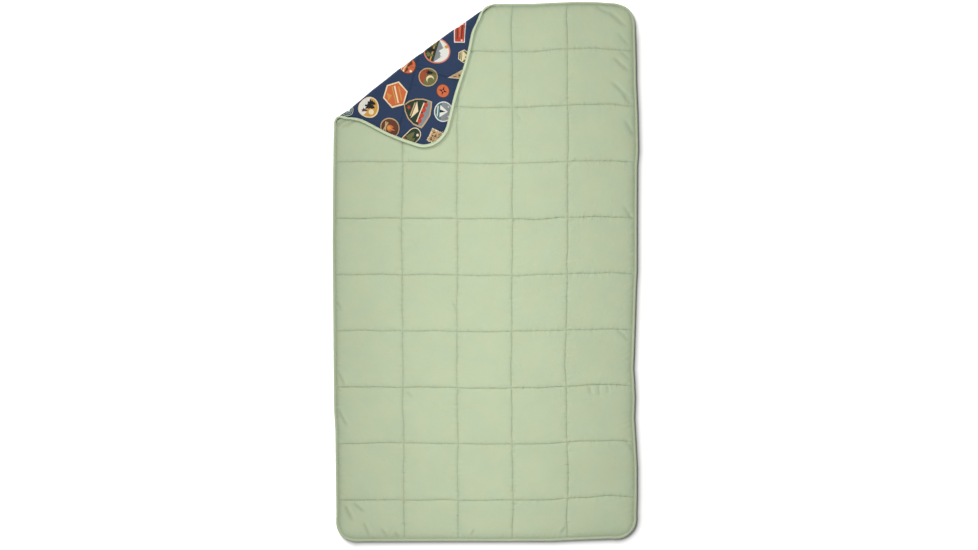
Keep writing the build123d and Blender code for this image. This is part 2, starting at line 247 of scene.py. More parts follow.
def simulate(name, seed, excess, frames=12):
    """Puffs a sheet up between its seams: Blender cloth with more cloth than the
    seams leave room for, pressed out by the fill."""
    scale = 0.01
    rng = np.random.default_rng(seed)
    z = rng.normal(0, 0.22, GX.shape)
    z[PIN] = 0
    co = np.stack([FX, FY, z], -1).reshape(-1, 3) * scale
    me = bpy.data.meshes.new(name)
    me.from_pydata(co.tolist(), [], grid_faces().tolist())
    me.update()
    ob = bpy.data.objects.new(name, me)
    bpy.context.scene.collection.objects.link(ob)
    group = ob.vertex_groups.new(name="sewn")
    group.add(np.nonzero(PIN.ravel())[0].tolist(), 1.0, "REPLACE")
    mod = ob.modifiers.new("cloth", "CLOTH")
    s = mod.settings
    s.quality, s.mass = 5, 0.3
    s.tension_stiffness = s.compression_stiffness = 15
    s.shear_stiffness, s.bending_stiffness = 5, 0.02
    s.tension_damping = s.compression_damping = s.shear_damping = 5
    s.bending_damping, s.air_damping = 0.5, 1
    s.vertex_group_mass = "sewn"
    s.shrink_min = s.shrink_max = -excess
    s.use_pressure, s.uniform_pressure_force = True, 1.5
    s.effector_weights.gravity = 0
    mod.collision_settings.use_collision = False
    sc = bpy.context.scene
    gravity = sc.use_gravity
    sc.use_gravity = False
    sc.frame_start, sc.frame_end = 1, frames
    mod.point_cache.frame_start, mod.point_cache.frame_end = 1, frames
    for f in range(1, frames + 1):
        sc.frame_set(f)
    dg = bpy.context.evaluated_depsgraph_get()
    done = ob.evaluated_get(dg).data
    out = np.empty(len(done.vertices) * 3)
    done.vertices.foreach_get("co", out)
    out = out.reshape(NA, NB, 3) / scale
    bpy.data.objects.remove(ob)
    bpy.data.meshes.remove(me)
    sc.use_gravity = gravity
    sc.frame_set(1)
    return out


raw_shell, raw_liner = simulate("shell_sim", 31, 0.010), simulate("liner_sim", 47, 0.010)


def tighten(g, marks):
    """Extra lines close beside each seam, where the cloth dives to the stitches."""
    extra = []
    for m in marks:
        for d in (-3.6, -1.5, 1.5, 3.6):
            if g[0] < g[m] + d < g[-1]:
                extra.append(g[m] + d)
    fine = np.sort(np.concatenate([g, extra]))
    return fine, [int(np.argmin(np.abs(fine - g[m]))) for m in marks]


def read_grid(ga, gb, values, a, b):
    i = np.clip(np.searchsorted(ga, a, side="right") - 1, 0, len(ga) - 2)
    j = np.clip(np.searchsorted(gb, b, side="right") - 1, 0, len(gb) - 2)
    fa = ((a - ga[i]) / (ga[i + 1] - ga[i]))[..., None]
    fb = ((b - gb[j]) / (gb[j + 1] - gb[j]))[..., None]
    return (values[i, j] * (1 - fa) * (1 - fb) + values[i + 1, j] * fa * (1 - fb)
            + values[i, j + 1] * (1 - fa) * fb + values[i + 1, j + 1] * fa * fb)


COARSE_A, COARSE_B = GA, GB
GA, IA = tighten(COARSE_A, IA)
GB, IB = tighten(COARSE_B, IB)
NA, NB = len(GA), len(GB)
GX, GY = np.meshgrid(GA, GB, indexing="ij")
raw_shell = read_grid(COARSE_A, COARSE_B, raw_shell, GX, GY)
raw_liner = read_grid(COARSE_A, COARSE_B, raw_liner, GX, GY)


def seam_distance(v, marks_at):
    return np.min(np.abs(v[..., None] - np.array(marks_at)), axis=-1)


def puckers(seed):
    """Short gathers square to the seams, strong in places and absent in others."""
    out = np.zeros(GX.shape)
    r = np.random.default_rng(seed)
    for k, m in enumerate(IA):
        d = np.abs(GX - GA[m])
        side = np.where(GX > GA[m], 1.0, -1.0)
        ph = 2 * math.pi * GY / 19.0 + 2.2 * np.sin(GY / 31.0 + k * 1.9 + side) + 1.1 * np.sin(GY / 12.7 + k)
        amount = np.clip(waves(GX * 0 + k * 90.0, GY, seed + k, 150.0) + 0.35, 0, 1.3)
        reach = 13.0 + 5 * math.sin(k)
        if k in (0, len(IA) - 1):
            amount, reach = 2.6 * np.clip(amount, 0.15, 1.1), 20.0
            ph = 2 * math.pi * (GY + 0.55 * d) / 23.0 + 2.4 * np.sin(GY / 43.0 + k) + 1.2 * np.sin(GY / 17.0)
        out += amount * np.sin(ph + side * 0.8) * np.exp(-d / reach) * (1 - np.exp(-d / 2.5))
    for k, m in enumerate(IB):
        d = np.abs(GY - GB[m])
        side = np.where(GY > GB[m], 1.0, -1.0)
        ph = 2 * math.pi * GX / 18.0 + 2.2 * np.sin(GX / 29.0 + k * 2.3 + side) + 1.1 * np.sin(GX / 13.3 + k)
        amount = np.clip(waves(GX, GY * 0 + k * 70.0, seed + 50 + k, 150.0) + 0.35, 0, 1.3)
        reach = 13.0 + 5 * math.cos(k)
        if k in (0, len(IB) - 1):
            amount, reach = 2.2 * np.clip(amount, 0.15, 1.1), 18.0
            ph = 2 * math.pi * (GX - 0.5 * d) / 22.0 + 2.4 * np.sin(GX / 41.0 + k) + 1.2 * np.sin(GX / 17.0)
        out += amount * np.sin(ph + side * 0.8) * np.exp(-d / reach) * (1 - np.exp(-d / 2.5))
    return out


# single creases that stand out: from, to (picture units), half width and height (mm)
CREASES = [(612, 56, 631, 72, 5.5, 2.4), (619, 49, 632, 60, 5, 1.8), (608, 80, 632, 100, 6, 2.2), (620, 92, 633, 106, 5, -1.8),
           (622, 118, 634, 138, 5.5, 2.0), (606, 9, 629, 27, 6, 2.4), (594, 6, 612, 15, 5, 1.8), (617, 30, 631, 46, 5, -1.6),
           (341, 503, 351, 523, 5.5, 2.4), (350, 502, 364, 514, 5, 1.8), (360, 521, 368, 538, 5, 2.0), (378, 528, 386, 538, 5, 1.8),
           (392, 531, 398, 539, 5, 1.8), (337, 408, 347, 428, 5.5, 2.2), (337, 370, 346, 388, 5, 2.0), (337, 300, 343, 312, 5, 1.5),
           (590, 387, 593, 399, 4.5, 1.8), (600, 387, 601, 400, 4.5, 1.8), (609, 387, 610, 398, 4.5, 1.6), (336, 126, 346, 118, 4.5, -3.4),
           (345, 127, 355, 119, 4.5, -3.0), (340, 128, 351, 119, 4.0, 2.0), (622, 205, 633, 222, 5, 1.6), (618, 330, 632, 344, 5, 1.8),
           (560, 535, 566, 527, 5, 1.6), (470, 536, 474, 528, 4.5, 1.6), (625, 440, 634, 456, 5, 1.6), (404, 390, 414, 398, 4.5, 1.2),
           (514, 110, 522, 120, 4.5, 1.0), (452, 300, 458, 312, 4.5, 1.2), (508, 212, 516, 222, 4.5, 1.2), (398, 225, 406, 236, 4.5, 1.2)]


def creases():
    out = np.zeros(GX.shape)
    for x0, y0, x1, y1, w, h in CREASES:
        p0 = np.array([px_x(x0), px_y(y0)])
        p1 = np.array([px_x(x1), px_y(y1)])
        way = p1 - p0
        ln = math.hypot(*way)
        way = way / ln
        along = (GX - p0[0]) * way[0] + (GY - p0[1]) * way[1]
        across = -(GX - p0[0]) * way[1] + (GY - p0[1]) * way[0]
        f = smooth01(along / (0.35 * ln)) * smooth01((ln - along) / (0.35 * ln))
        out += 1.4 * abs(h) * f * (0.4 * np.exp(-((across - 1.8 * w) / w) ** 2) - np.exp(-(across / w) ** 2))
    return out


# painted shade: how much the shell's colour is darkened down in a crease or gather, on the grid; negative on their
# ridges, a painted highlight
CREASE_PAINTED_SHADE = 0.075 * np.clip(-creases(), -1.2, 2.4) + 0.022 * np.clip(puckers(21), -1.0, 2.0)


def settle(raw, up, seed):
    """A sheet's grid in the flat blanket, in mm: the fill stops the cloth from
    ballooning, and the cloth dives steeply to the stitches."""
    d = np.minimum(seam_distance(GX, GA[IA]), seam_distance(GY, GB[IB]))
    rise = 3.4 if up else 2.6
    rim = np.minimum(np.minimum(GX - GA[0], GA[-1] - GX), np.minimum(GY - GB[0], GB[-1] - GY))
    sloped = 1 - 0.9 * np.exp(-rim / 13.0)
    lump = 1 + 0.06 * waves(GX, GY, seed, 60.0)
    z = rise * np.tanh(np.maximum(raw[..., 2], 0) / (rise * 1.05 * lump)) * sloped
    z = z + 2.5 * (1 - np.exp(-d / 1.8)) * (0.35 + 0.65 * sloped) 
    gathers = puckers(seed)
    z = z - 0.75 * np.maximum(gathers, 0) + 0.3 * gathers
    if up:
        z = z + creases() * (1 - np.exp(-rim / 3.0))
    z = np.maximum(z, 0)
    x, y = lay(raw[..., 0], raw[..., 1])
    if up:
        z = np.minimum(SEAM_Z + 0.35 + z, TOP_Z)
    else:
        z = np.maximum(SEAM_Z - 0.35 - z, 0.05)
    return np.stack([x, y, z], -1)


SHELL, LINER = settle(raw_shell, True, 21), settle(raw_liner, False, 22)


def sample(sheet, a, b):
    """The sheet at any place of the plain grid, read between its grid points."""
    a, b = np.asarray(a, float), np.asarray(b, float)
    i = np.clip(np.searchsorted(GA, a, side="right") - 1, 0, NA - 2)
    j = np.clip(np.searchsorted(GB, b, side="right") - 1, 0, NB - 2)
    fa = np.clip((a - GA[i]) / (GA[i + 1] - GA[i]), 0, 1)[..., None]
    fb = np.clip((b - GB[j]) / (GB[j + 1] - GB[j]), 0, 1)[..., None]
    return (sheet[i, j] * (1 - fa) * (1 - fb) + sheet[i + 1, j] * fa * (1 - fb)
            + sheet[i, j + 1] * (1 - fa) * fb + sheet[i + 1, j + 1] * fa * fb)


# ------------------------------------------------------------------ printed motifs
def srgb(r, g, b):
    return tuple(((c / 255 + 0.055) / 1.055) ** 2.4 if c > 10 else c / 255 / 12.92 for c in (r, g, b))


INK = {
    "navy": srgb(36, 54, 84), "red": srgb(186, 62, 44), "salmon": srgb(206, 120, 98),
    "white": srgb(216, 216, 208), "orange": srgb(198, 100, 60), "gold": srgb(196, 146, 66),
    "tan": srgb(186, 158, 116), "cream": srgb(226, 208, 168), "brown": srgb(92, 54, 36),
    "olive": srgb(104, 104, 60), "pine": srgb(36, 54, 42), "black": srgb(24, 26, 28),
    "grey": srgb(126, 132, 134), "teal": srgb(72, 110, 112), "rust": srgb(150, 74, 44),
}


def circle(r, n=36, cx=0.0, cy=0.0):
    t = np.linspace(0, 2 * math.pi, n, endpoint=False)
    return np.stack([cx + r * np.cos(t), cy + r * np.sin(t)], 1)


def poly(*pts):
    return np.array(pts, float)


def box(x0, y0, x1, y1):
    return poly((x0, y0), (x1, y0), (x1, y1), (x0, y1))


def ngon(r, n, turn_by=0.0):
    t = np.linspace(0, 2 * math.pi, n, endpoint=False) + turn_by
    return np.stack([r * np.cos(t), r * np.sin(t)], 1)


def star(r1, r2, n, cx=0.0, cy=0.0):
    t = np.linspace(0, 2 * math.pi, 2 * n, endpoint=False) + math.pi / 2
    r = np.where(np.arange(2 * n) % 2 == 0, r1, r2)
    return np.stack([cx + r * np.cos(t), cy + r * np.sin(t)], 1)


def shield(k):
    left = [(-0.86, 0.72), (-0.84, 0.1), (-0.66, -0.38), (-0.36, -0.74), (0, -1.0)]
    top = [(0.86, 0.72), (0.5, 0.84), (0.0, 0.95), (-0.5, 0.84)]
    right = [(0.36, -0.74), (0.66, -0.38), (0.84, 0.1)]
    return np.array(left + right + top) * k


def arch(w, h):
    t = np.linspace(0, math.pi, 13)
    top = np.stack([w * np.cos(t), h - w + w * np.sin(t)], 1)
    return np.vstack([[(-w, -h), (w, -h)], top])


def pine(cx, cy, k):
    p = [(-0.1, 0), (-0.1, 0.2), (-0.5, 0.2), (-0.22, 0.5), (-0.4, 0.5), (-0.15, 0.8), (-0.28, 0.8), (0, 1.25),
         (0.28, 0.8), (0.15, 0.8), (0.4, 0.5), (0.22, 0.5), (0.5, 0.2), (0.1, 0.2), (0.1, 0)]
    return np.array(p) * k + (cx, cy)


def hills(y0, pts):
    return np.array([(-1.1, y0 - 1.2), (1.1, y0 - 1.2)] + [(x, y) for x, y in pts[::-1]])


def flame(cx, cy, k):
    p = [(0, 0), (0.32, 0.12), (0.42, 0.42), (0.25, 0.75), (0.2, 0.5), (0.05, 1.15), (-0.12, 0.6), (-0.28, 0.85),
         (-0.42, 0.4), (-0.3, 0.1)]
    return np.array(p) * k + (cx, cy)


def wave(y, amp, n=3):
    t = np.linspace(-1, 1, 4 * n + 1)
    top = np.stack([t, y + amp * np.sin(t * n * math.pi)], 1)
    return np.vstack([top, [(1, y - 0.14), (-1, y - 0.14)]])


# each motif is drawn in a unit space: (outline, colour, clipped by the ground?)
def round_badge(rim, ground, inner, ring=None):
    out = [(circle(1.0), rim, False), (circle(0.9), ground, False)]
    if ring:
        out = [(circle(1.0), rim, False), (circle(0.92), ring, False), (circle(0.74), rim, False),
               (circle(0.7), ground, False)]
    return out + [(p, c, True) for p, c in inner]


def motif(kind):
    """(layers, ground radius or outline used for clipping)"""
    if kind == "alpine":
        inner = [(box(-1, -1, 1, 0.02), "pine"), (poly((-0.9, 0.0), (-0.35, 0.42), (-0.05, 0.15), (0.25, 0.5), (0.95, 0.0)), "grey"),
                 (poly((0.25, 0.5), (0.1, 0.34), (0.2, 0.28), (0.28, 0.36), (0.42, 0.32)), "white"), (box(-1, -0.3, 1, -0.2), "gold"),
                 (circle(0.13, 14, -0.5, 0.62), "gold"), (pine(-0.45, -0.75, 0.55), "olive"), (pine(0.0, -0.8, 0.6), "black"),
                 (pine(0.45, -0.72, 0.5), "olive")]
        return round_badge("salmon", "white", inner)
    if kind == "banner":
        return [(box(-1, -0.5, 1, 0.5), "white", False), (box(-0.92, -0.42, 0.92, 0.42), "red", False),
                (box(-0.7, 0.12, 0.7, 0.24), "brown", True), (box(-0.5, -0.04, 0.5, 0.05), "salmon", True),
                (box(-0.7, -0.28, 0.7, -0.16), "brown", True), (star(0.14, 0.06, 5, 0.8, 0.2), "cream", True),
                (star(0.14, 0.06, 5, -0.8, 0.2), "cream", True)]
    if kind == "hexagon":
        return [(ngon(1.0, 6, math.pi / 6), "cream", False), (ngon(0.88, 6, math.pi / 6), "orange", False),
                (box(-0.5, 0.34, 0.5, 0.44), "gold", True), (box(-0.62, 0.02, 0.62, 0.14), "cream", True),
                (box(-0.62, -0.16, 0.62, -0.06), "gold", True), (poly((-0.3, -0.62), (0, -0.26), (0.3, -0.62)), "gold", True)]
    if kind == "dawn":
        inner = [(hills(-0.3, [(-1.1, -0.2), (-0.5, 0.02), (0, -0.22), (0.5, -0.02), (1.1, -0.3)]), "white"),
                 (circle(0.26, 18, 0.32, 0.4), "cream"), (pine(-0.5, -0.3, 0.7), "black"), (pine(-0.15, -0.45, 0.85), "black"),
                 (pine(0.35, -0.6, 0.5), "brown")]
        return round_badge("cream", "gold", inner)
    if kind == "shield":
        out = [(shield(1.0), "tan", False), (shield(0.9), "pine", False), (poly((-1, 1), (1, 1), (1, 0.42), (-1, 0.42)), "grey", True)]
        out += [(circle(0.15, 12, x, 0.4), "red", True) for x in (-0.5, -0.17, 0.17, 0.5)]
        out += [(box(-0.6, 0.2, 0.6, 0.28), "cream", True), (poly((-0.55, -0.22), (0, 0.1), (0.55, -0.22)), "cream", True),
                (box(-0.42, -0.34, 0.42, -0.26), "tan", True), (star(0.16, 0.07, 5, 0, -0.58), "red", True)]
        return out
    if kind == "tent":
        inner = [(hills(-0.5, [(-1.1, -0.25), (1.1, -0.25)]), "teal"),
                 (poly((-0.6, -0.4), (0, 0.45), (0.6, -0.4)), "white"), (poly((-0.16, -0.4), (0, 0.2), (0.16, -0.4)), "black"),
                 (box(-0.5, -0.68, 0.5, -0.58), "white"), (star(0.13, 0.05, 4, -0.5, 0.48), "white"), (star(0.13, 0.05, 4, 0.45, 0.52), "white")]
        return round_badge("white", "grey", inner)
    if kind == "campfire":
        inner = [(flame(0, -0.35, 0.85), "orange"), (flame(0, -0.3, 0.5), "gold"),
                 (poly((-0.5, -0.52), (0.46, -0.3), (0.5, -0.42), (-0.46, -0.64)), "tan"),
                 (poly((0.5, -0.52), (-0.46, -0.3), (-0.5, -0.42), (0.46, -0.64)), "tan")]
        return round_badge("tan", "brown", inner)
    if kind == "window":
        return [(arch(0.72, 1.0), "cream", False), (arch(0.64, 0.92), "pine", False), (pine(-0.18, -0.7, 0.95), "olive", True),
                (pine(0.3, -0.7, 0.65), "olive", True), (circle(0.14, 12, 0.28, 0.5), "cream", True),
                (box(-0.7, -0.95, 0.7, -0.66), "rust", True)]
    if kind == "plaid":
        out = [(box(-0.85, -0.85, 0.85, 0.85), "cream", False), (box(-0.76, -0.76, 0.76, 0.76), "tan", False)]
        out += [(box(-0.8, y, 0.8, y + 0.1), "brown", True) for y in (-0.5, 0.0, 0.5)]
        out += [(box(x, -0.8, x + 0.1, 0.8), "brown", True) for x in (-0.55, -0.05, 0.45)]
        return out
    if kind == "pennant":
        return [(poly((-1, 0.62), (-1, -0.62), (1, 0)), "cream", False), (poly((-0.92, 0.5), (-0.92, -0.5), (0.76, 0)), "tan", False),
                (star(0.22, 0.1, 5, -0.55, 0), "brown", True), (box(-0.22, -0.05, 0.3, 0.05), "brown", True)]
    if kind == "peak":
        return [(ngon(1.0, 6, 0), "cream", False), (ngon(0.88, 6, 0), "olive", False),
                (poly((-0.8, -0.3), (-0.2, 0.5), (0.1, 0.1), (0.3, 0.35), (0.8, -0.3)), "cream", True),
                (box(-0.6, -0.52, 0.6, -0.42), "cream", True)]
    if kind == "compass":
        inner = [(star(0.72, 0.2, 4), "black"), (circle(0.14, 12), "orange")]
        return round_badge("brown", "orange", inner)
    if kind == "moon":
        inner = [(circle(0.4, 22, 0.2, 0.22), "cream"), (circle(0.34, 20, 0.36, 0.3), "olive"),
                 (hills(-0.4, [(-1.1, -0.1), (-0.6, 0.05), (-0.1, -0.2), (0.5, -0.4), (1.1, -0.3)]), "rust"),
                 (pine(-0.5, -0.25, 0.6), "black")]
        return round_badge("tan", "olive", inner)
    if kind == "lake":
        inner = [(poly((-1, 0.0), (-0.4, 0.5), (0.1, 0.05), (0.45, 0.3), (1, 0.0)), "brown"), (wave(-0.12, 0.06), "cream"),
                 (wave(-0.42, 0.06), "cream"), (circle(0.15, 12, 0.45, 0.6), "cream")]
        return round_badge("brown", "orange", inner)
    if kind == "stamp":
        inner = [(poly((-0.5, -0.3), (0, 0.5), (0.5, -0.3)), "white"), (poly((-0.28, -0.3), (0, 0.15), (0.28, -0.3)), "teal")]
        return round_badge("white", "teal", inner, ring="pine")
    if kind == "strip":
        return [(box(-1, -0.32, 1, 0.32), "cream", False), (box(-0.94, -0.25, 0.94, 0.25), "pine", False),
                (box(-0.75, 0.02, 0.75, 0.12), "cream", True), (box(-0.5, -0.14, 0.5, -0.06), "gold", True)]
    raise ValueError(kind)


KINDS = ["alpine", "banner", "hexagon", "dawn", "shield", "tent", "campfire", "window", "plaid", "pennant", "peak",
         "compass", "moon", "lake", "stamp", "strip"]
MOTIFS = {k: motif(k) for k in KINDS}

# motifs on the turned-back corner: place in the picture (pixels), size in mm
ON_CORNER = [("banner", 461, 32, 40, 15), ("alpine", 438, 51, 46, 0), ("lake", 409, 66, 31, -8), ("moon", 429, 78, 34, 8),
             ("compass", 443.6, 92, 24, 0), ("hexagon", 396, 95, 45, 30), ("dawn", 369, 107, 39, 0),
             ("shield", 418, 111, 52, -6), ("tent", 444.5, 112, 34, 10), ("campfire", 391, 128.5, 34, 0),
             ("window", 413.5, 137, 32, 60), ("plaid", 436, 137, 24, -10), ("pennant", 456, 77, 28, -60),
             ("peak", 465, 57, 24, 12), ("stamp", 347, 108.5, 22, 0)]


def flat_of_corner(x, y):
    """Back from a place on the turned corner to the flat blanket."""
    ax, ay = x, y
    for _ in range(8):
        dx, dy = pull(np.array(ax), np.array(ay))
        ax, ay = x - float(dx), y - float(dy)
    s, t = to_st(ax, ay)
    return to_xy(BEND - s, t)


placed = []
for kind, cx, cy, size, tilt in ON_CORNER:
    fx, fy = flat_of_corner(float(px_x(cx)), float(px_y(cy)))
    placed.append((kind, fx, fy, size, math.radians(tilt)))

rng = np.random.default_rng(2024)
SIZE = {"alpine": 43, "banner": 40, "hexagon": 42, "dawn": 39, "shield": 46, "tent": 34, "campfire": 34, "window": 40,
        "plaid": 25, "pennant": 32, "peak": 34, "compass": 24, "moon": 34, "lake": 33, "stamp": 36, "strip": 40}
REACH = {"banner": 1.1, "strip": 1.05, "plaid": 1.2, "window": 1.0, "pennant": 1.0}
tries = 0
order = 0
grid_xy = []
while tries < 9000 and len(placed) < 300:
    tries += 1
    kind = KINDS[order % len(KINDS)]
    size = SIZE[kind] * rng.uniform(0.92, 1.06)
    fx, fy = rng.uniform(-HX + 8, HX - 8), rng.uniform(-HY + 8, HY - 8)
    near = False
    for k2, x2, y2, s2, _ in placed:
        gap = size * REACH.get(kind, 1.0) + s2 * REACH.get(k2, 1.0) + 7
        if (fx - x2) ** 2 + (fy - y2) ** 2 < gap * gap:
            near = True
            break
    if near:
        if tries % 40 == 0:
            order += 1
        continue
    placed.append((kind, fx, fy, size, rng.uniform(-0.3, 0.3)))
    order += 1


def motif_world(kind, fx, fy, size, tilt):
    """Layers of a motif in the flat blanket, seen from the liner's side."""
    c, s = math.cos(tilt), math.sin(tilt)
    out = []
    for pts, colour, clipped in MOTIFS[kind]:
        u = (pts[:, 0] * c - pts[:, 1] * s) * size
        v = (pts[:, 0] * s + pts[:, 1] * c) * size
        out.append((np.stack([fx - u, fy + v], 1), colour, clipped))
    return out


PRINTS = [(fx, fy, size * 1.25, motif_world(kind, fx, fy, size, tilt)) for kind, fx, fy, size, tilt in placed]


def inside(points, pts):
    """Even-odd test of many points against one outline."""
    x, y = points[:, 0], points[:, 1]
    hit = np.zeros(len(points), bool)
    x1, y1 = pts[:, 0], pts[:, 1]
    x2, y2 = np.roll(x1, -1), np.roll(y1, -1)
    for a, b, c, d in zip(x1, y1, x2, y2):
        if b == d:
            continue
        cross = (b > y) != (d > y)
        xi = (c - a) * (y - b) / (d - b) + a
        hit ^= cross & (x < xi)
    return hit


def ink_at(points):
    """Colour index of the print at many points of the flat blanket."""
    names = list(INK)
    out = np.zeros(len(points), int)
    for fx, fy, r, layers in PRINTS:
        m = np.nonzero((np.abs(points[:, 0] - fx) < r) & (np.abs(points[:, 1] - fy) < r))[0]
        if not len(m):
            continue
        p = points[m]
        grounds = [pts for pts, _, clipped in layers if not clipped]
        ground = inside(p, grounds[-1])
        for pts, colour, clipped in layers:
            hit = inside(p, pts)
            if clipped:
                hit &= ground
            out[m[hit]] = names.index(colour)
    return out


# ------------------------------------------------------------------- building meshes
def new_mesh(name, co, faces, material, smooth=True, uv=None, colours=None, near=None):
    me = bpy.data.meshes.new(name)
    me.from_pydata((np.asarray(co) * MM).tolist(), [], [list(map(int, f)) for f in faces])
    me.update()
    if smooth:
        me.polygons.foreach_set("use_smooth", np.ones(len(me.polygons), bool))
    if uv is not None:
        layer = me.uv_layers.new(name="UVMap")
        loops = np.empty(len(me.loops), int)
        me.loops.foreach_get("vertex_index", loops)
        layer.data.foreach_set("uv", (np.asarray(uv)[loops] * MM).astype(np.float32).ravel())
    if colours is not None:
        attr = me.color_attributes.new("print", "FLOAT_COLOR", "CORNER")
        counts = np.empty(len(me.polygons), int)
        me.polygons.foreach_get("loop_total", counts)
        c = np.repeat(np.asarray(colours, np.float32), counts, axis=0)
        attr.data.foreach_set("color", c.ravel())
    for key, values in (near or {}).items():
        attr = me.attributes.new(key, "FLOAT", "POINT")
        attr.data.foreach_set("value", np.asarray(values, np.float32))
    me.materials.append(material)
    ob = bpy.data.objects.new(name, me)
    bpy.context.scene.collection.objects.link(ob)
    return ob


def s_of(a, b):
    return to_st(a, b)[0]


def cell_mesh(ia, ib, lines, motifs, drop_band=None):
    """One quilted square as points (a, b) and faces: grid points, with the fold's
    lines and the printed outlines as edges."""
    a0, a1, b0, b1 = GA[IA[ia]], GA[IA[ia + 1]], GB[IB[ib]], GB[IB[ib + 1]]
    ga, gb = GA[IA[ia]:IA[ia + 1] + 1], GB[IB[ib]:IB[ib + 1] + 1]
    pa, pb = np.meshgrid(ga, gb, indexing="ij")
    na, nb = pa.shape
    rim = np.zeros(pa.shape, bool)
    rim[0, :] = rim[-1, :] = rim[:, 0] = rim[:, -1] = True
    keep = np.ones(pa.shape, bool)
    s = s_of(pa, pb)
    for at in lines:
        keep &= rim | (np.abs(s - at) > 1.6)
    if drop_band is not None:
        keep &= rim | (s < drop_band[0]) | (s > drop_band[1])
    index = -np.ones(pa.shape, int)
    index[keep] = np.arange(keep.sum())
    pts = list(zip(pa[keep].tolist(), pb[keep].tolist()))
    edges = []
    for i in range(na - 1):
        edges += [(index[i, 0], index[i + 1, 0]), (index[i, -1], index[i + 1, -1])]
    for j in range(nb - 1):
        edges += [(index[0, j], index[0, j + 1]), (index[-1, j], index[-1, j + 1])]
    for at in lines:
        p0, p1 = to_xy(at, -900.0), to_xy(at, 900.0)
        # the part of the line over this square
        t = []
        d = (p1[0] - p0[0], p1[1] - p0[1])
        lo, hi = 0.0, 1.0
        ok = True
        for p, q, v0, v1 in ((p0[0], d[0], a0, a1), (p0[1], d[1], b0, b1)):
            t0, t1 = sorted(((v0 - p) / q, (v1 - p) / q))
            lo, hi = max(lo, t0), min(hi, t1)
        if hi - lo < 1e-9:
            continue
        n = max(1, int(round((hi - lo) * 1800.0 / STEP)))
        base = len(pts)
        for k in range(n + 1):
            f = lo + (hi - lo) * k / n
            pts.append((p0[0] + d[0] * f, p0[1] + d[1] * f))
        edges += [(base + k, base + k + 1) for k in range(n)]
    for fx, fy, r, layers in motifs:
        if fx + r < a0 or fx - r > a1 or fy + r < b0 or fy - r > b1:
            continue
        for outline, colour, clipped in layers:
            base, n = len(pts), len(outline)
            if (outline[:, 0].max() < a0 or outline[:, 0].min() > a1 or outline[:, 1].max() < b0
                    or outline[:, 1].min() > b1):
                continue
            pts += [tuple(p) for p in outline.tolist()]
            edges += [(base + k, base + (k + 1) % n) for k in range(n)]
    v, e, f, *_ = delaunay_2d_cdt(pts, [tuple(map(int, x)) for x in edges], [], 0, 1e-5)
    v = np.array([tuple(p) for p in v])
    f = np.array([tuple(x) for x in f], int)
    c = v[f].mean(axis=1)
    ok = (c[:, 0] > a0) & (c[:, 0] < a1) & (c[:, 1] > b0) & (c[:, 1] < b1)
    # leave out slivers with no area
    e1, e2 = v[f[:, 1]] - v[f[:, 0]], v[f[:, 2]] - v[f[:, 0]]
    area = e1[:, 0] * e2[:, 1] - e1[:, 1] * e2[:, 0]
    f = np.where((area < 0)[:, None], f[:, ::-1], f)
    ok &= np.abs(area) > 1e-7
    return v, f[ok]


def build_topology(b_lo, b_hi, lines, motifs, drop_band):
    """Points (a, b) and faces of a sheet between two seams, welded over the cells."""
    where, pts, faces = {}, [], []

    def at(p):
        key = (round(p[0] * 2000), round(p[1] * 2000))
        if key not in where:
            where[key] = len(pts)
            pts.append((p[0], p[1]))
        return where[key]

    for ib in range(len(IB) - 1):
        if GB[IB[ib]] < b_lo - 1 or GB[IB[ib + 1]] > b_hi + 1:
            continue
        for ia in range(len(IA) - 1):
            a0, a1, b0, b1 = GA[IA[ia]], GA[IA[ia + 1]], GB[IB[ib]], GB[IB[ib + 1]]
            corners = [s_of(x, y) for x in (a0, a1) for y in (b0, b1)]
            crossed = lines and min(corners) < lines[-1] + 1 and max(corners) > lines[0] - 1
            if crossed or motifs:
                v, f = cell_mesh(ia, ib, lines if crossed else [], motifs, drop_band if crossed else None)
                ids = [at(p) for p in v]
                for t in f:
                    q = (ids[t[0]], ids[t[1]], ids[t[2]])
                    if len(set(q)) == 3:
                        faces.append(q)
            else:
                for i in range(IA[ia], IA[ia + 1]):
                    for j in range(IB[ib], IB[ib + 1]):
                        faces.append(tuple(at(p) for p in ((GA[i], GB[j]), (GA[i + 1], GB[j]), (GA[i + 1], GB[j + 1]),
                                                           (GA[i], GB[j + 1]))))
    return np.array(pts), faces


print("placed", len(placed), "motifs")


# ---------------------------------------------------------------------- materials
def node(nt, kind, **vals):
    n = nt.nodes.new(kind)
    for k, v in vals.items():
        if k.startswith("in_"):
            n.inputs[int(k[3:])].default_value = v
        else:
            setattr(n, k, v)
    return n


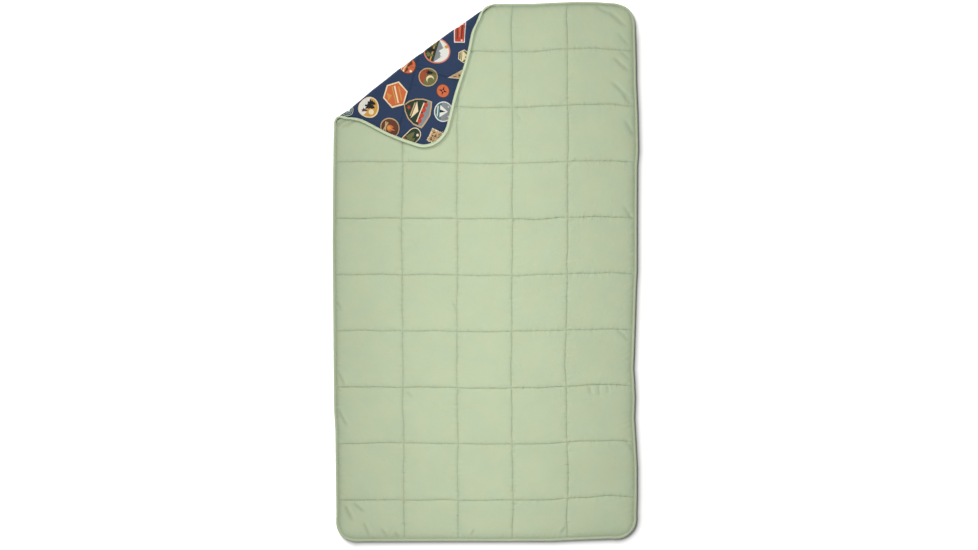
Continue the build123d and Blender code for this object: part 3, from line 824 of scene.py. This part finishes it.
def weave_bump(nt, coord, size, strength, crinkle, lumps=26.0, gathered=False):
    """Thread weave, small crinkles and soft creases, as one bump (coord in metres)."""
    link = nt.links.new
    w1 = node(nt, "ShaderNodeTexWave", wave_type="BANDS", bands_direction="X")
    w2 = node(nt, "ShaderNodeTexWave", wave_type="BANDS", bands_direction="Y")
    for w in (w1, w2):
        w.inputs["Scale"].default_value = size
        w.inputs["Distortion"].default_value = 0.4
        w.inputs["Detail"].default_value = 0.0
        link(coord, w.inputs["Vector"])
    weave = node(nt, "ShaderNodeMath", operation="MULTIPLY")
    link(w1.outputs["Fac"], weave.inputs[0])
    link(w2.outputs["Fac"], weave.inputs[1])
    n1 = node(nt, "ShaderNodeTexNoise")
    n1.inputs["Scale"].default_value = 190.0
    n1.inputs["Detail"].default_value = 3.0
    n1.inputs["Roughness"].default_value = 0.55
    n1.inputs["Distortion"].default_value = 0.6
    link(coord, n1.inputs["Vector"])
    n2 = node(nt, "ShaderNodeTexNoise")
    n2.inputs["Scale"].default_value = lumps
    n2.inputs["Detail"].default_value = 2.0
    n2.inputs["Distortion"].default_value = 1.2
    link(coord, n2.inputs["Vector"])
    b1 = node(nt, "ShaderNodeBump")
    b1.inputs["Strength"].default_value = strength
    b1.inputs["Distance"].default_value = 0.0002
    link(weave.outputs[0], b1.inputs["Height"])
    b2 = node(nt, "ShaderNodeBump")
    b2.inputs["Strength"].default_value = crinkle
    b2.inputs["Distance"].default_value = 0.0012
    link(n1.outputs["Fac"], b2.inputs["Height"])
    link(b1.outputs["Normal"], b2.inputs["Normal"])
    b3 = node(nt, "ShaderNodeBump")
    b3.inputs["Strength"].default_value = crinkle
    b3.inputs["Distance"].default_value = 0.004
    link(n2.outputs["Fac"], b3.inputs["Height"])
    link(b2.outputs["Normal"], b3.inputs["Normal"])
    if not gathered:
        return b3.outputs["Normal"]
    total = None
    for name, scale in (("near_across", (22.0, 62.0, 1.0)), ("near_along", (62.0, 22.0, 1.0))):
        attr = node(nt, "ShaderNodeAttribute", attribute_name=name)
        place = node(nt, "ShaderNodeMapping")
        place.inputs["Scale"].default_value = scale
        link(coord, place.inputs["Vector"])
        n3 = node(nt, "ShaderNodeTexNoise")
        n3.inputs["Scale"].default_value = 1.0
        n3.inputs["Detail"].default_value = 2.0
        n3.inputs["Distortion"].default_value = 0.5
        link(place.outputs["Vector"], n3.inputs["Vector"])
        mul = node(nt, "ShaderNodeMath", operation="MULTIPLY")
        link(attr.outputs["Fac"], mul.inputs[0])
        link(n3.outputs["Fac"], mul.inputs[1])
        if total is None:
            total = mul
        else:
            add = node(nt, "ShaderNodeMath", operation="ADD")
            link(total.outputs[0], add.inputs[0])
            link(mul.outputs[0], add.inputs[1])
            total = add
    b4 = node(nt, "ShaderNodeBump")
    b4.inputs["Strength"].default_value = 0.75
    b4.inputs["Distance"].default_value = 0.007
    link(total.outputs[0], b4.inputs["Height"])
    link(b3.outputs["Normal"], b4.inputs["Normal"])
    return b4.outputs["Normal"]


def cloth_material(name, colour, rough=0.78, weave=260.0, bump=0.35, crinkle=0.35, sheen=0.25, patch=0.05,
                   printed=False, gathered=False, other=None, shaded=False):
    mat = bpy.data.materials.new(name)
    mat.use_nodes = True
    nt = mat.node_tree
    link = nt.links.new
    b = nt.nodes["Principled BSDF"]
    uv = node(nt, "ShaderNodeUVMap")
    coord = uv.outputs["UV"]
    noise = node(nt, "ShaderNodeTexNoise")
    noise.inputs["Scale"].default_value = 9.0
    noise.inputs["Detail"].default_value = 4.0
    link(coord, noise.inputs["Vector"])
    ramp = node(nt, "ShaderNodeMapRange")
    ramp.inputs["To Min"].default_value = 1 - patch
    ramp.inputs["To Max"].default_value = 1 + patch
    link(noise.outputs["Fac"], ramp.inputs["Value"])
    fine = node(nt, "ShaderNodeTexNoise")
    fine.inputs["Scale"].default_value = 420.0
    fine.inputs["Detail"].default_value = 1.0
    link(coord, fine.inputs["Vector"])
    ramp2 = node(nt, "ShaderNodeMapRange")
    ramp2.inputs["To Min"].default_value = 0.95
    ramp2.inputs["To Max"].default_value = 1.05
    link(fine.outputs["Fac"], ramp2.inputs["Value"])
    both = node(nt, "ShaderNodeMath", operation="MULTIPLY")
    link(ramp.outputs[0], both.inputs[0])
    link(ramp2.outputs[0], both.inputs[1])
    # painted shade: the colour is multiplied by a per-point painted-shade attribute
    if shaded:
        painted_shade_attr = node(nt, "ShaderNodeAttribute", attribute_name="painted_shade_factor")
        plain = both
        both = node(nt, "ShaderNodeMath", operation="MULTIPLY")
        link(plain.outputs[0], both.inputs[0])
        link(painted_shade_attr.outputs["Fac"], both.inputs[1])
    mix = node(nt, "ShaderNodeMix", data_type="RGBA", blend_type="MULTIPLY")
    mix.inputs["Factor"].default_value = 1.0
    if printed:
        attr = node(nt, "ShaderNodeAttribute", attribute_name="print")
        link(attr.outputs["Color"], mix.inputs["A"])
    elif other:
        drift = node(nt, "ShaderNodeTexNoise")
        drift.inputs["Scale"].default_value = 15.0
        drift.inputs["Detail"].default_value = 2.0
        link(coord, drift.inputs["Vector"])
        span = node(nt, "ShaderNodeMapRange")
        span.inputs["From Min"].default_value = 0.35
        span.inputs["From Max"].default_value = 0.65
        link(drift.outputs["Fac"], span.inputs["Value"])
        tone = node(nt, "ShaderNodeMix", data_type="RGBA")
        tone.inputs["A"].default_value = (*colour, 1)
        tone.inputs["B"].default_value = (*other, 1)
        link(span.outputs[0], tone.inputs["Factor"])
        link(tone.outputs["Result"], mix.inputs["A"])
    else:
        mix.inputs["A"].default_value = (*colour, 1)
    link(both.outputs[0], mix.inputs["B"])
    link(mix.outputs["Result"], b.inputs["Base Color"])
    b.inputs["Roughness"].default_value = rough
    b.inputs["Sheen Weight"].default_value = sheen
    b.inputs["Sheen Roughness"].default_value = 0.45
    b.inputs["Specular IOR Level"].default_value = 0.3
    link(weave_bump(nt, coord, weave, bump, crinkle, gathered=gathered), b.inputs["Normal"])
    return mat


SAGE = (0.453, 0.531, 0.356)
M_SHELL = cloth_material("sage_nylon", (0.444, 0.531, 0.361), other=(0.464, 0.531, 0.352), gathered=True,
                         shaded=True)
M_LINER = cloth_material("printed_twill", (1, 1, 1), rough=0.8, weave=240.0, printed=True, sheen=0.15, patch=0.09, crinkle=0.4,
                         gathered=True, shaded=True)
M_BIND = cloth_material("sage_binding", tuple(c * 1.2 for c in SAGE), rough=0.62, weave=330.0, crinkle=0.25, patch=0.04, shaded=True)
M_EDGE = cloth_material("sage_thread", tuple(c * 0.86 for c in SAGE), rough=0.55, weave=900.0, crinkle=0.0, patch=0.08)
M_SEAM = cloth_material("pale_thread", tuple(c * 0.68 for c in SAGE), rough=0.55, weave=900.0, crinkle=0.0, patch=0.08)
M_NAVY = cloth_material("navy_thread", INK["navy"], rough=0.55, weave=900.0, crinkle=0.0, patch=0.08)

# ------------------------------------------------------------------------ the sheets
PARTS = [("head", SPLIT_1, HY, ("head_half", "turned_corner")),
         ("middle", SPLIT_2, SPLIT_1, ("head_half", "middle_panel")),
         ("foot", -HY, SPLIT_2, ("middle_panel", "foot_panel"))]
FOLD_ROWS = [BEND * k / 11.0 for k in range(12)]


def crease(co, flat_x, flat_y, up):
    """Near the fold the lower layer's top is drawn level, so that the fold closes."""
    s, _ = to_st(flat_x, flat_y)
    if up:
        near = smooth01(1 - np.maximum(-s, s - BEND) / 13.0)
        co[:, 2] = co[:, 2] + (TOP_Z - co[:, 2]) * near
    return co


def sheet_painted_shade(a, b, up):
    """Painted shade: the cloth's colour is darkened at the seams and the edge, where shade falls, and on the shell
    also down in creases and gathers, with a painted highlight on their ridges.
    """
    rim = np.minimum(np.minimum(a - GA[0], GA[-1] - a), np.minimum(b - GB[0], GB[-1] - b))
    seam = np.minimum(seam_distance(a, GA[IA]), seam_distance(b, GB[IB]) * 1.25)
    dark = 0.13 * np.exp(-seam / 2.2) + 0.04 * np.exp(-seam / 9.0) + 0.24 * np.exp(-rim / 6.0) + 0.08 * np.exp(-rim / 24.0)
    if up:
        return (1 - dark) * (1 - sample(CREASE_PAINTED_SHADE[..., None], a, b)[:, 0])
    return 1 - dark * 0.8


def sheet(part, up):
    name, lo, hi, bodies = part
    lines = (([0.0, BEND] if up else FOLD_ROWS) if name == "head" else [])
    ab, faces = build_topology(lo, hi, lines, [] if up else PRINTS, (0.0, BEND) if up else None)
    base = SHELL if up else LINER
    co = sample(base, ab[:, 0], ab[:, 1])
    fx, fy = rounded(ab[:, 0], ab[:, 1])
    if name == "head":
        co = crease(co, co[:, 0], co[:, 1], up)
        rest = turn(co[:, 0], co[:, 1], co[:, 2])
        if not up:
            s, _ = to_st(co[:, 0], co[:, 1])
            z = rest[:, 2]
            z = np.where((z > 12.7) & (z < 13.5), 12.7, np.where((z >= 13.5) & (z < 14.3), 14.3, z))
            rest[:, 2] = z
    else:
        rest = co
    if not up:
        faces = [f[::-1] for f in faces]
    colours = None
    if not up:
        f3 = np.array(faces)
        cx, cy = fx[f3].mean(axis=1), fy[f3].mean(axis=1)
        k = ink_at(np.stack([cx, cy], 1))
        table = np.array([(*c, 1.0) for c in INK.values()])
        colours = table[k]
    # painted shade: each point carries a colour factor, darker at seams, rim and creases
    ob = new_mesh(("quilted_shell_" if up else "printed_lining_") + name, rest, faces, M_SHELL if up else M_LINER,
                  uv=np.stack([fx + 600, fy + 1000], 1), colours=colours,
                  near={"painted_shade_factor": sheet_painted_shade(ab[:, 0], ab[:, 1], up),
                        "near_across": np.exp(-seam_distance(ab[:, 0], GA[IA]) / 13.0),
                        "near_along": np.exp(-seam_distance(ab[:, 1], GB[IB]) / 13.0)})
    return ob


# --------------------------------------------------------------- rim, binding, cord
STRAIGHT_X, STRAIGHT_Y = 2 * (HX - CORNER_R), 2 * (HY - CORNER_R)
ARC = 0.5 * math.pi * CORNER_R
ROUND_TRIP = 2 * (STRAIGHT_X + STRAIGHT_Y) + 4 * ARC


def rim_point(u, inset):
    """Place on the flat blanket at distance u along its edge (counterclockwise from
    the middle of the right edge) and inset from it."""
    u = u % ROUND_TRIP
    cx, cy, r = HX - CORNER_R, HY - CORNER_R, CORNER_R - inset
    legs = [(STRAIGHT_Y / 2, "r"), (ARC, (cx, cy, 0)), (STRAIGHT_X, "t"), (ARC, (-cx, cy, 90)), (STRAIGHT_Y, "l"),
            (ARC, (-cx, -cy, 180)), (STRAIGHT_X, "b"), (ARC, (cx, -cy, 270)), (STRAIGHT_Y / 2, "r2")]
    for length, what in legs:
        if u <= length:
            break
        u -= length
    if what == "r":
        return HX - inset, u
    if what == "r2":
        return HX - inset, -cy + u
    if what == "t":
        return cx - u, HY - inset
    if what == "l":
        return -HX + inset, cy - u
    if what == "b":
        return -cx + u, -HY + inset
    ox, oy, a0 = what
    a = math.radians(a0) + u / CORNER_R
    return ox + r * math.cos(a), oy + r * math.sin(a)


def unrounded(x, y):
    """The plain grid's coordinates of a place in a rounded corner."""
    r = CORNER_R - HEM
    cx, cy = HX - CORNER_R, HY - CORNER_R
    sx, sy = (1 if x >= 0 else -1), (1 if y >= 0 else -1)
    X, Y = (x * sx - cx) / r, (y * sy - cy) / r
    if X <= 0 or Y <= 0:
        return x, y
    q = 2 * math.sqrt(2)
    u = 0.5 * math.sqrt(max(0, 2 + q * X + X * X - Y * Y)) - 0.5 * math.sqrt(max(0, 2 - q * X + X * X - Y * Y))
    v = 0.5 * math.sqrt(max(0, 2 + q * Y - X * X + Y * Y)) - 0.5 * math.sqrt(max(0, 2 - q * Y - X * X + Y * Y))
    return (cx + u * r) * sx, (cy + v * r) * sy


def level(base, x, y):
    a, b = unrounded(x, y)
    return float(sample(base, np.array([a]), np.array([b]))[0, 2])


U_R1, U_R2 = 190.0, ROUND_TRIP + SPLIT_2
TOP_LEFT = STRAIGHT_Y / 2 + ARC + STRAIGHT_X + ARC
U_L1, U_L2 = TOP_LEFT + (HY - CORNER_R) - 190.0, TOP_LEFT + (HY - CORNER_R) - SPLIT_2
RUNS = {"head": [(U_R1, U_L1)], "middle": [(U_L1, U_L2), (U_R2 - ROUND_TRIP, U_R1)], "foot": [(U_L2, U_R2)]}


def section(u):
    """The binding's section at u as (inset, z): leg on the shell, round over the
    cord, leg under the liner."""
    pucker = math.sin(u / 9.0 + 2.0 * math.sin(u / 47.0)) * 0.28 + math.sin(u / 5.3 + 1.7) * 0.12
    slack = 0.35 * math.sin(u / 61.0 + 1.0)
    r = 4.35 + 0.12 * pucker
    cx, cz = 4.6 + 0.2 * slack, 6.0 + 0.2 * math.sin(u / 83.0)
    pts = []
    w = 11.3 + 0.4 * pucker + 0.7 * slack
    x, y = rim_point(u, w)
    za = level(SHELL, x, y) + 0.25
    x2, y2 = rim_point(u, 10.0)
    zb = level(SHELL, x2, y2) + 0.75 + 0.2 * pucker
    pts += [(w, za - 0.3), (w - 0.15, za + 0.35), (10.0, zb + 0.1), (9.3, 7.3 + 0.2 * pucker)]
    for k in range(9):
        a = math.radians(38 + k * 35.5)
        pts.append((cx + r * math.cos(a), cz + r * math.sin(a)))
    zl = level(LINER, x, y) - 0.25
    zm = level(LINER, x2, y2) - 0.75 - 0.2 * pucker
    pts += [(9.3, 4.7 - 0.2 * pucker), (10.0, zm - 0.1), (w - 0.15, zl - 0.35), (w, zl + 0.3)]
    return [(max(d, 0.05), min(max(z, 0.3), TOP_Z)) for d, z in pts]


def rings_of(u0, u1):
    """Places along a run, close together where the corner turns back."""
    out, u = [], u0
    while u < u1 - 1.0:
        out.append(u)
        x, y = rim_point(u, 6.0)
        s, _ = to_st(x, y)
        u += 1.6 if -12 < s < BEND + 12 else 3.6
    out.append(u1)
    return out


def binding(name, bent):
    co, uv, faces, painted_shade_factor = [], [], [], []
    for u0, u1 in RUNS[name]:
        us = rings_of(u0, u1)
        start = len(co)
        for u in us:
            sec = section(u)
            n = len(sec)
            run = 0.0
            for k, (d, z) in enumerate(sec):
                x, y = rim_point(u, d)
                x, y = lay(np.array(x), np.array(y))
                co.append((float(x), float(y), z))
                uv.append((u, 40.0 + 2.0 * k))
                # painted shade: the binding's colour is darkened towards the shell-side leg (down to 0.68), the liner
                # side kept full
                painted_shade_factor.append(1.0 if k > n * 0.55 else 0.68 + 0.32 * max(0.0, k - 4) / (n * 0.55 - 4))
        for i in range(len(us) - 1):
            for k in range(n):
                a, b = start + i * n + k, start + i * n + (k + 1) % n
                faces.append((a, a + n, b + n, b))
    co = np.array(co)
    if bent:
        co = turn(co[:, 0], co[:, 1], co[:, 2])
    return new_mesh("corded_binding_" + name, co, faces, M_BIND, uv=np.array(uv), near={"painted_shade_factor": painted_shade_factor})


# -------------------------------------------------------------------------- stitches
def stitch_template(length, r, flat=0.62, sides=5):
    """A short thread dipping into the cloth at both ends: rings along x."""
    rings = []
    for f, k in ((-0.5, 0.35), (-0.36, 0.9), (0.0, 1.0), (0.36, 0.9), (0.5, 0.35)):
        lift = (0.25 - f * f) * 0.9 * r * 2
        rings.append([(f * length, r * k * math.cos(a), lift + flat * r * k * math.sin(a))
                      for a in np.linspace(0, 2 * math.pi, sides, endpoint=False) + 0.3])
    v = np.array(sum(rings, []))
    f = []
    for i in range(4):
        for k in range(sides):
            f.append((i * sides + k, i * sides + (k + 1) % sides, (i + 1) * sides + (k + 1) % sides, (i + 1) * sides + k))
    f.append(tuple(range(sides))[::-1])
    f.append(tuple(4 * sides + k for k in range(sides)))
    return v, f


STITCH_V, STITCH_F = stitch_template(3.5, 0.5)
STITCH_F_BACK = [f[::-1] for f in STITCH_F]


def stitch_run(path, pitch):
    """Middles and directions at even spacing along a polyline of (x, y, z)."""
    p = np.asarray(path, float)
    seg = np.diff(p, axis=0)
    ln = np.hypot(seg[:, 0], seg[:, 1])
    cum = np.concatenate([[0], np.cumsum(ln)])
    at = np.arange(pitch * 0.6, cum[-1] - pitch * 0.4, pitch)
    k = np.clip(np.searchsorted(cum, at, side="right") - 1, 0, len(seg) - 1)
    f = (at - cum[k]) / np.maximum(ln[k], 1e-9)
    return p[k] + seg[k] * f[:, None], seg[k] / np.maximum(ln[k], 1e-9)[:, None]


def stitches(name, runs, side, material, bent, lift):
    """side +1 on the shell, -1 on the liner."""
    co, faces, uv = [], [], []
    total = 0
    for path in runs:
        mid, way = stitch_run(path, 5.0)
        for m, w in zip(mid, way):
            s, _ = to_st(m[0], m[1])
            if bent and side > 0 and -9 < s < BEND + 9:
                continue
            h = math.hypot(w[0], w[1])
            ux, uy = w[0] / h, w[1] / h
            v = STITCH_V
            x = m[0] + v[:, 0] * ux - v[:, 1] * uy
            y = m[1] + v[:, 0] * uy + v[:, 1] * ux
            z = m[2] + v[:, 0] * w[2] / h + side * (v[:, 2] + lift)
            if bent:
                p = turn(x, y, z, split=False)
                if p[:, 2].min() < 13.5 + 0.6 and p[:, 2].max() > 13.5 - 0.6:
                    continue
            else:
                p = np.stack([x, y, z], 1)
            co.append(p)
            uv.append(np.stack([v[:, 0] + total * 7.0, v[:, 1]], 1))
            faces += [tuple(i + total * len(v) for i in f) for f in (STITCH_F if side > 0 else STITCH_F_BACK)]
            total += 1
    return new_mesh(name, np.vstack(co), faces, material, uv=np.vstack(uv))


def seam_paths(base, part):
    name, lo, hi, _ = part
    out = []
    ma = np.array(IA)
    for j in IB[1:-1]:
        row = GB[j]
        if lo < row <= hi + 0.1 and not (name != "head" and abs(row - hi) < 1):
            out.append(base[:, j])
        elif name == "head" and abs(row - lo) < 1:
            out.append(base[:, j])
        elif name == "middle" and abs(row - lo) < 1:
            out.append(base[:, j])
    for i in IA[1:-1]:
        j0 = int(np.argmin(np.abs(GB - max(lo, GB[0]))))
        j1 = int(np.argmin(np.abs(GB - min(hi, GB[-1]))))
        out.append(base[i, j0:j1 + 1])
    return out


def edge_paths(name, side):
    out = []
    for u0, u1 in RUNS[name]:
        path = []
        for u in np.arange(u0, u1 + 1, 4.0):
            x, y = rim_point(min(u, u1), 10.1)
            base = SHELL if side > 0 else LINER
            z = level(base, x, y) + side * 1.0
            x, y = lay(np.array(x), np.array(y))
            path.append((float(x), float(y), z))
        out.append(path)
    return out


# ------------------------------------------------------------------ put it together
for part in PARTS:
    name, lo, hi, bodies = part
    bent = name == "head"
    made = []
    shell = sheet(part, True)
    liner = sheet(part, False)
    bind = binding(name, bent)
    top = stitches("quilting_stitches_" + name, seam_paths(SHELL, part), +1, M_SEAM, bent, 0.05)
    under = stitches("liner_stitches_" + name, seam_paths(LINER, part), -1, M_NAVY, bent, 0.05)
    edge = stitches("edge_stitches_" + name, edge_paths(name, 1), +1, M_EDGE, bent, 0.0)
    edge2 = stitches("edge_stitches_under_" + name, edge_paths(name, -1), -1, M_EDGE, bent, 0.0)
    for ob in (shell, liner, bind, top, under, edge, edge2):
        if bent:
            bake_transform(ob)
        elif name == "middle":
            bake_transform(ob)
        else:
            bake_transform(ob)
    if bent:
        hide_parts("outer_shell_head", "outer_shell_fold_bend", "outer_shell_corner",
                    "fill_pads_head", "fill_pads_fold_bend", "fill_pads_corner")
        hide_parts("printed_liner_head", "printed_liner_fold_bend", "printed_liner_corner")
        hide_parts("edge_binding_head", "edge_binding_fold_bend", "edge_binding_corner",
                    "edge_cord_head", "edge_cord_fold_bend", "edge_cord_corner")
        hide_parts("edge_stitching_head", "stitching_fold_bend", "edge_stitching_corner")
        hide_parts(*["quilting_thread_row_%d" % k for k in range(1, 6)],
                    *["quilting_thread_column_%d_head" % k for k in range(1, 5)], "quilting_thread_row_1_corner",
                    "quilting_thread_column_1_corner", "quilting_thread_column_2_corner")
    elif name == "middle":
        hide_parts("outer_shell_middle", "fill_pads_middle")
        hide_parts("printed_liner_middle")
        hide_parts("edge_binding_middle", "edge_cord_middle")
        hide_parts("edge_stitching_middle")
        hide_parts("quilting_thread_row_6", "quilting_thread_row_7", "quilting_thread_row_8",
                    *["quilting_thread_column_%d_middle" % k for k in range(1, 5)])
    else:
        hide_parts("outer_shell_foot", "fill_pads_foot")
        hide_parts("printed_liner_foot")
        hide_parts("edge_binding_foot", "edge_cord_foot")
        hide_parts("edge_stitching_foot")
        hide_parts("quilting_thread_row_9", *["quilting_thread_column_%d_foot" % k for k in range(1, 5)])
    for ob in (shell, liner, bind, top, under, edge, edge2):
        n = sum(len(p.vertices) - 2 for p in ob.data.polygons)
        print(ob.name, len(ob.data.vertices), "points", n, "triangles")

# ------------------------------------------------------------- floor, light, camera
floor_mesh = bpy.data.meshes.new("floor")
floor_at, floor_away, floor_faces = [(0.0, 0.0, -0.0006)], [-0.5], []
RINGS = (-36.0, -16.0, -6.0, 0.0, 6.0, 12.0, 20.0, 30.0, 45.0, 70.0, 120.0)
AROUND = int(ROUND_TRIP / 10.0)
for i in range(AROUND):
    u = ROUND_TRIP * i / AROUND
    x0, y0 = rim_point(u, 0.0)
    x1, y1 = lay(np.array(x0), np.array(y0))
    for d in RINGS:
        x, y = rim_point(u, -d)
        floor_at.append(((x + float(x1) - x0) * MM, (y + float(y1) - y0) * MM, -0.0006))
        floor_away.append(d * MM)
    far = 9.0 / math.hypot(x0, y0)
    floor_at.append((x0 * far, y0 * far, -0.0006))
    floor_away.append(9.0)
    n, m = len(RINGS) + 1, (i + 1) % AROUND
    floor_faces.append((0, 1 + i * n, 1 + m * n))
    floor_faces += [(1 + i * n + k, 2 + i * n + k, 2 + m * n + k, 1 + m * n + k) for k in range(n - 1)]
floor_mesh.from_pydata(floor_at, [], floor_faces)
floor_mesh.attributes.new("away", "FLOAT", "POINT").data.foreach_set("value", floor_away)
floor_mat = bpy.data.materials.new("paper_painted_shadow_glow")
floor_mat.use_nodes = True
floor_mat.node_tree.nodes["Principled BSDF"].inputs["Base Color"].default_value = (0.80, 0.80, 0.80, 1)
floor_mat.node_tree.nodes["Principled BSDF"].inputs["Roughness"].default_value = 0.9
floor_mat.node_tree.nodes["Principled BSDF"].inputs["Specular IOR Level"].default_value = 0.1
nt = floor_mat.node_tree
where = node(nt, "ShaderNodeTexCoord")
# the paper glows, a painted light, away from the blanket's own edge, more slowly on the right and foot sides,
# so that it reads white and keeps the blanket's soft shadow there


def vec(op, a, b):
    n = node(nt, "ShaderNodeVectorMath", operation=op)
    for k, v in enumerate((a, b)):
        if v is None:
            continue
        if isinstance(v, tuple):
            n.inputs[k].default_value = v
        else:
            nt.links.new(v, n.inputs[k])
    return n


def ramp(value, lo, hi, to_lo, to_hi):
    n = node(nt, "ShaderNodeMapRange")
    for key, v in (("From Min", lo), ("From Max", hi), ("To Min", to_lo), ("To Max", to_hi)):
        n.inputs[key].default_value = v
    nt.links.new(value, n.inputs["Value"])
    return n.outputs[0]


def scalar(op, a, b):
    n = node(nt, "ShaderNodeMath", operation=op)
    for k, v in enumerate((a, b)):
        if isinstance(v, float):
            n.inputs[k].default_value = v
        else:
            nt.links.new(v, n.inputs[k])
    return n.outputs[0]


here = where.outputs["Object"]
away = node(nt, "ShaderNodeAttribute", attribute_name="away").outputs["Fac"]
lee = vec("DOT_PRODUCT", here, (1 / 0.54, -1 / 0.9625, 0)).outputs["Value"]
reach = ramp(lee, 0.0, 0.16, 0.004, 0.036)
start = ramp(lee, 0.0, 0.16, -0.004, 0.006)
near_edge = scalar("DIVIDE", scalar("SUBTRACT", away, start), reach)
past_fold = ramp(vec("DOT_PRODUCT", here, (float(OUT[0]), float(OUT[1]), 0)).outputs["Value"],
                 float(FOLD_P @ OUT) * MM + 0.001, float(FOLD_P @ OUT) * MM + 0.005, 0.0, 1.0)
glow = scalar("MAXIMUM", ramp(near_edge, 0.0, 1.0, 0.0, 1.0), past_fold)
# well inside the outline the paper glows too, for when the blanket is folded off it
well_in = ramp(away, -0.034, -0.018, 1.0, 0.0)
glow = scalar("MAXIMUM", glow, well_in)
glow = scalar("MULTIPLY", glow, 0.75)
# painted shadow: on the right and foot sides the paper's colour is darkened by up to 40% close to the blanket's edge,
# fading out by 16 mm
painted_shadow = scalar("MULTIPLY", ramp(lee, 0.0, 0.16, 0.0, 1.0), ramp(away, 0.003, 0.016, 0.40, 0.08))
painted_shadow = scalar("MULTIPLY", painted_shadow, scalar("SUBTRACT", 1.0, well_in))
painted_shadow = scalar("MULTIPLY", scalar("SUBTRACT", 1.0, painted_shadow), 0.80)
nt.links.new(painted_shadow, nt.nodes["Principled BSDF"].inputs["Base Color"])
nt.links.new(glow, nt.nodes["Principled BSDF"].inputs["Emission Strength"])
nt.nodes["Principled BSDF"].inputs["Emission Color"].default_value = (1, 1, 1, 1)
floor_mesh.materials.append(floor_mat)
floor = bpy.data.objects.new("floor", floor_mesh)
bpy.context.scene.collection.objects.link(floor)

world = bpy.data.worlds.new("sky")
world.use_nodes = True
world.node_tree.nodes["Background"].inputs["Color"].default_value = (1.0, 1.0, 1.0, 1)
world.node_tree.nodes["Background"].inputs["Strength"].default_value = 0.29
bpy.context.scene.world = world

key_data = bpy.data.lights.new("key", "SUN")
key_data.energy = 1.35
key_data.angle = math.radians(20)
key_data.color = (1.0, 0.985, 0.955)
key = bpy.data.objects.new("key", key_data)
bpy.context.scene.collection.objects.link(key)
from mathutils import Vector
key.rotation_euler = Vector((0.60, -0.70, -1.0)).to_track_quat("-Z", "Y").to_euler()

over_data = bpy.data.lights.new("overhead", "AREA")
over_data.shape = "RECTANGLE"
over_data.size, over_data.size_y = 0.3, 2.7
over_data.energy = 10.7
over = bpy.data.objects.new("overhead", over_data)
over.location = (-0.025, 0.03, 0.95)
over.visible_camera = False
bpy.context.scene.collection.objects.link(over)

cam_data = bpy.data.cameras.new("camera")
cam_data.type = "PERSP"
cam_data.sensor_width = 36.0
cam_data.lens = 135.0
cam = bpy.data.objects.new("camera", cam_data)
bpy.context.scene.collection.objects.link(cam)
cam.location = (0.0143, -0.0125, 3.486 * 135.0 / 36.0)
cam.rotation_euler = (0, 0, 0)
cam_data.clip_end = 60.0
bpy.context.scene.camera = cam
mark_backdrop(floor, key, over, cam)

sc = bpy.context.scene
sc.view_settings.view_transform = "Standard"
sc.view_settings.look = "None"
sc.view_settings.exposure = 0.0
sc.view_settings.gamma = 1.0

lo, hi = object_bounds()
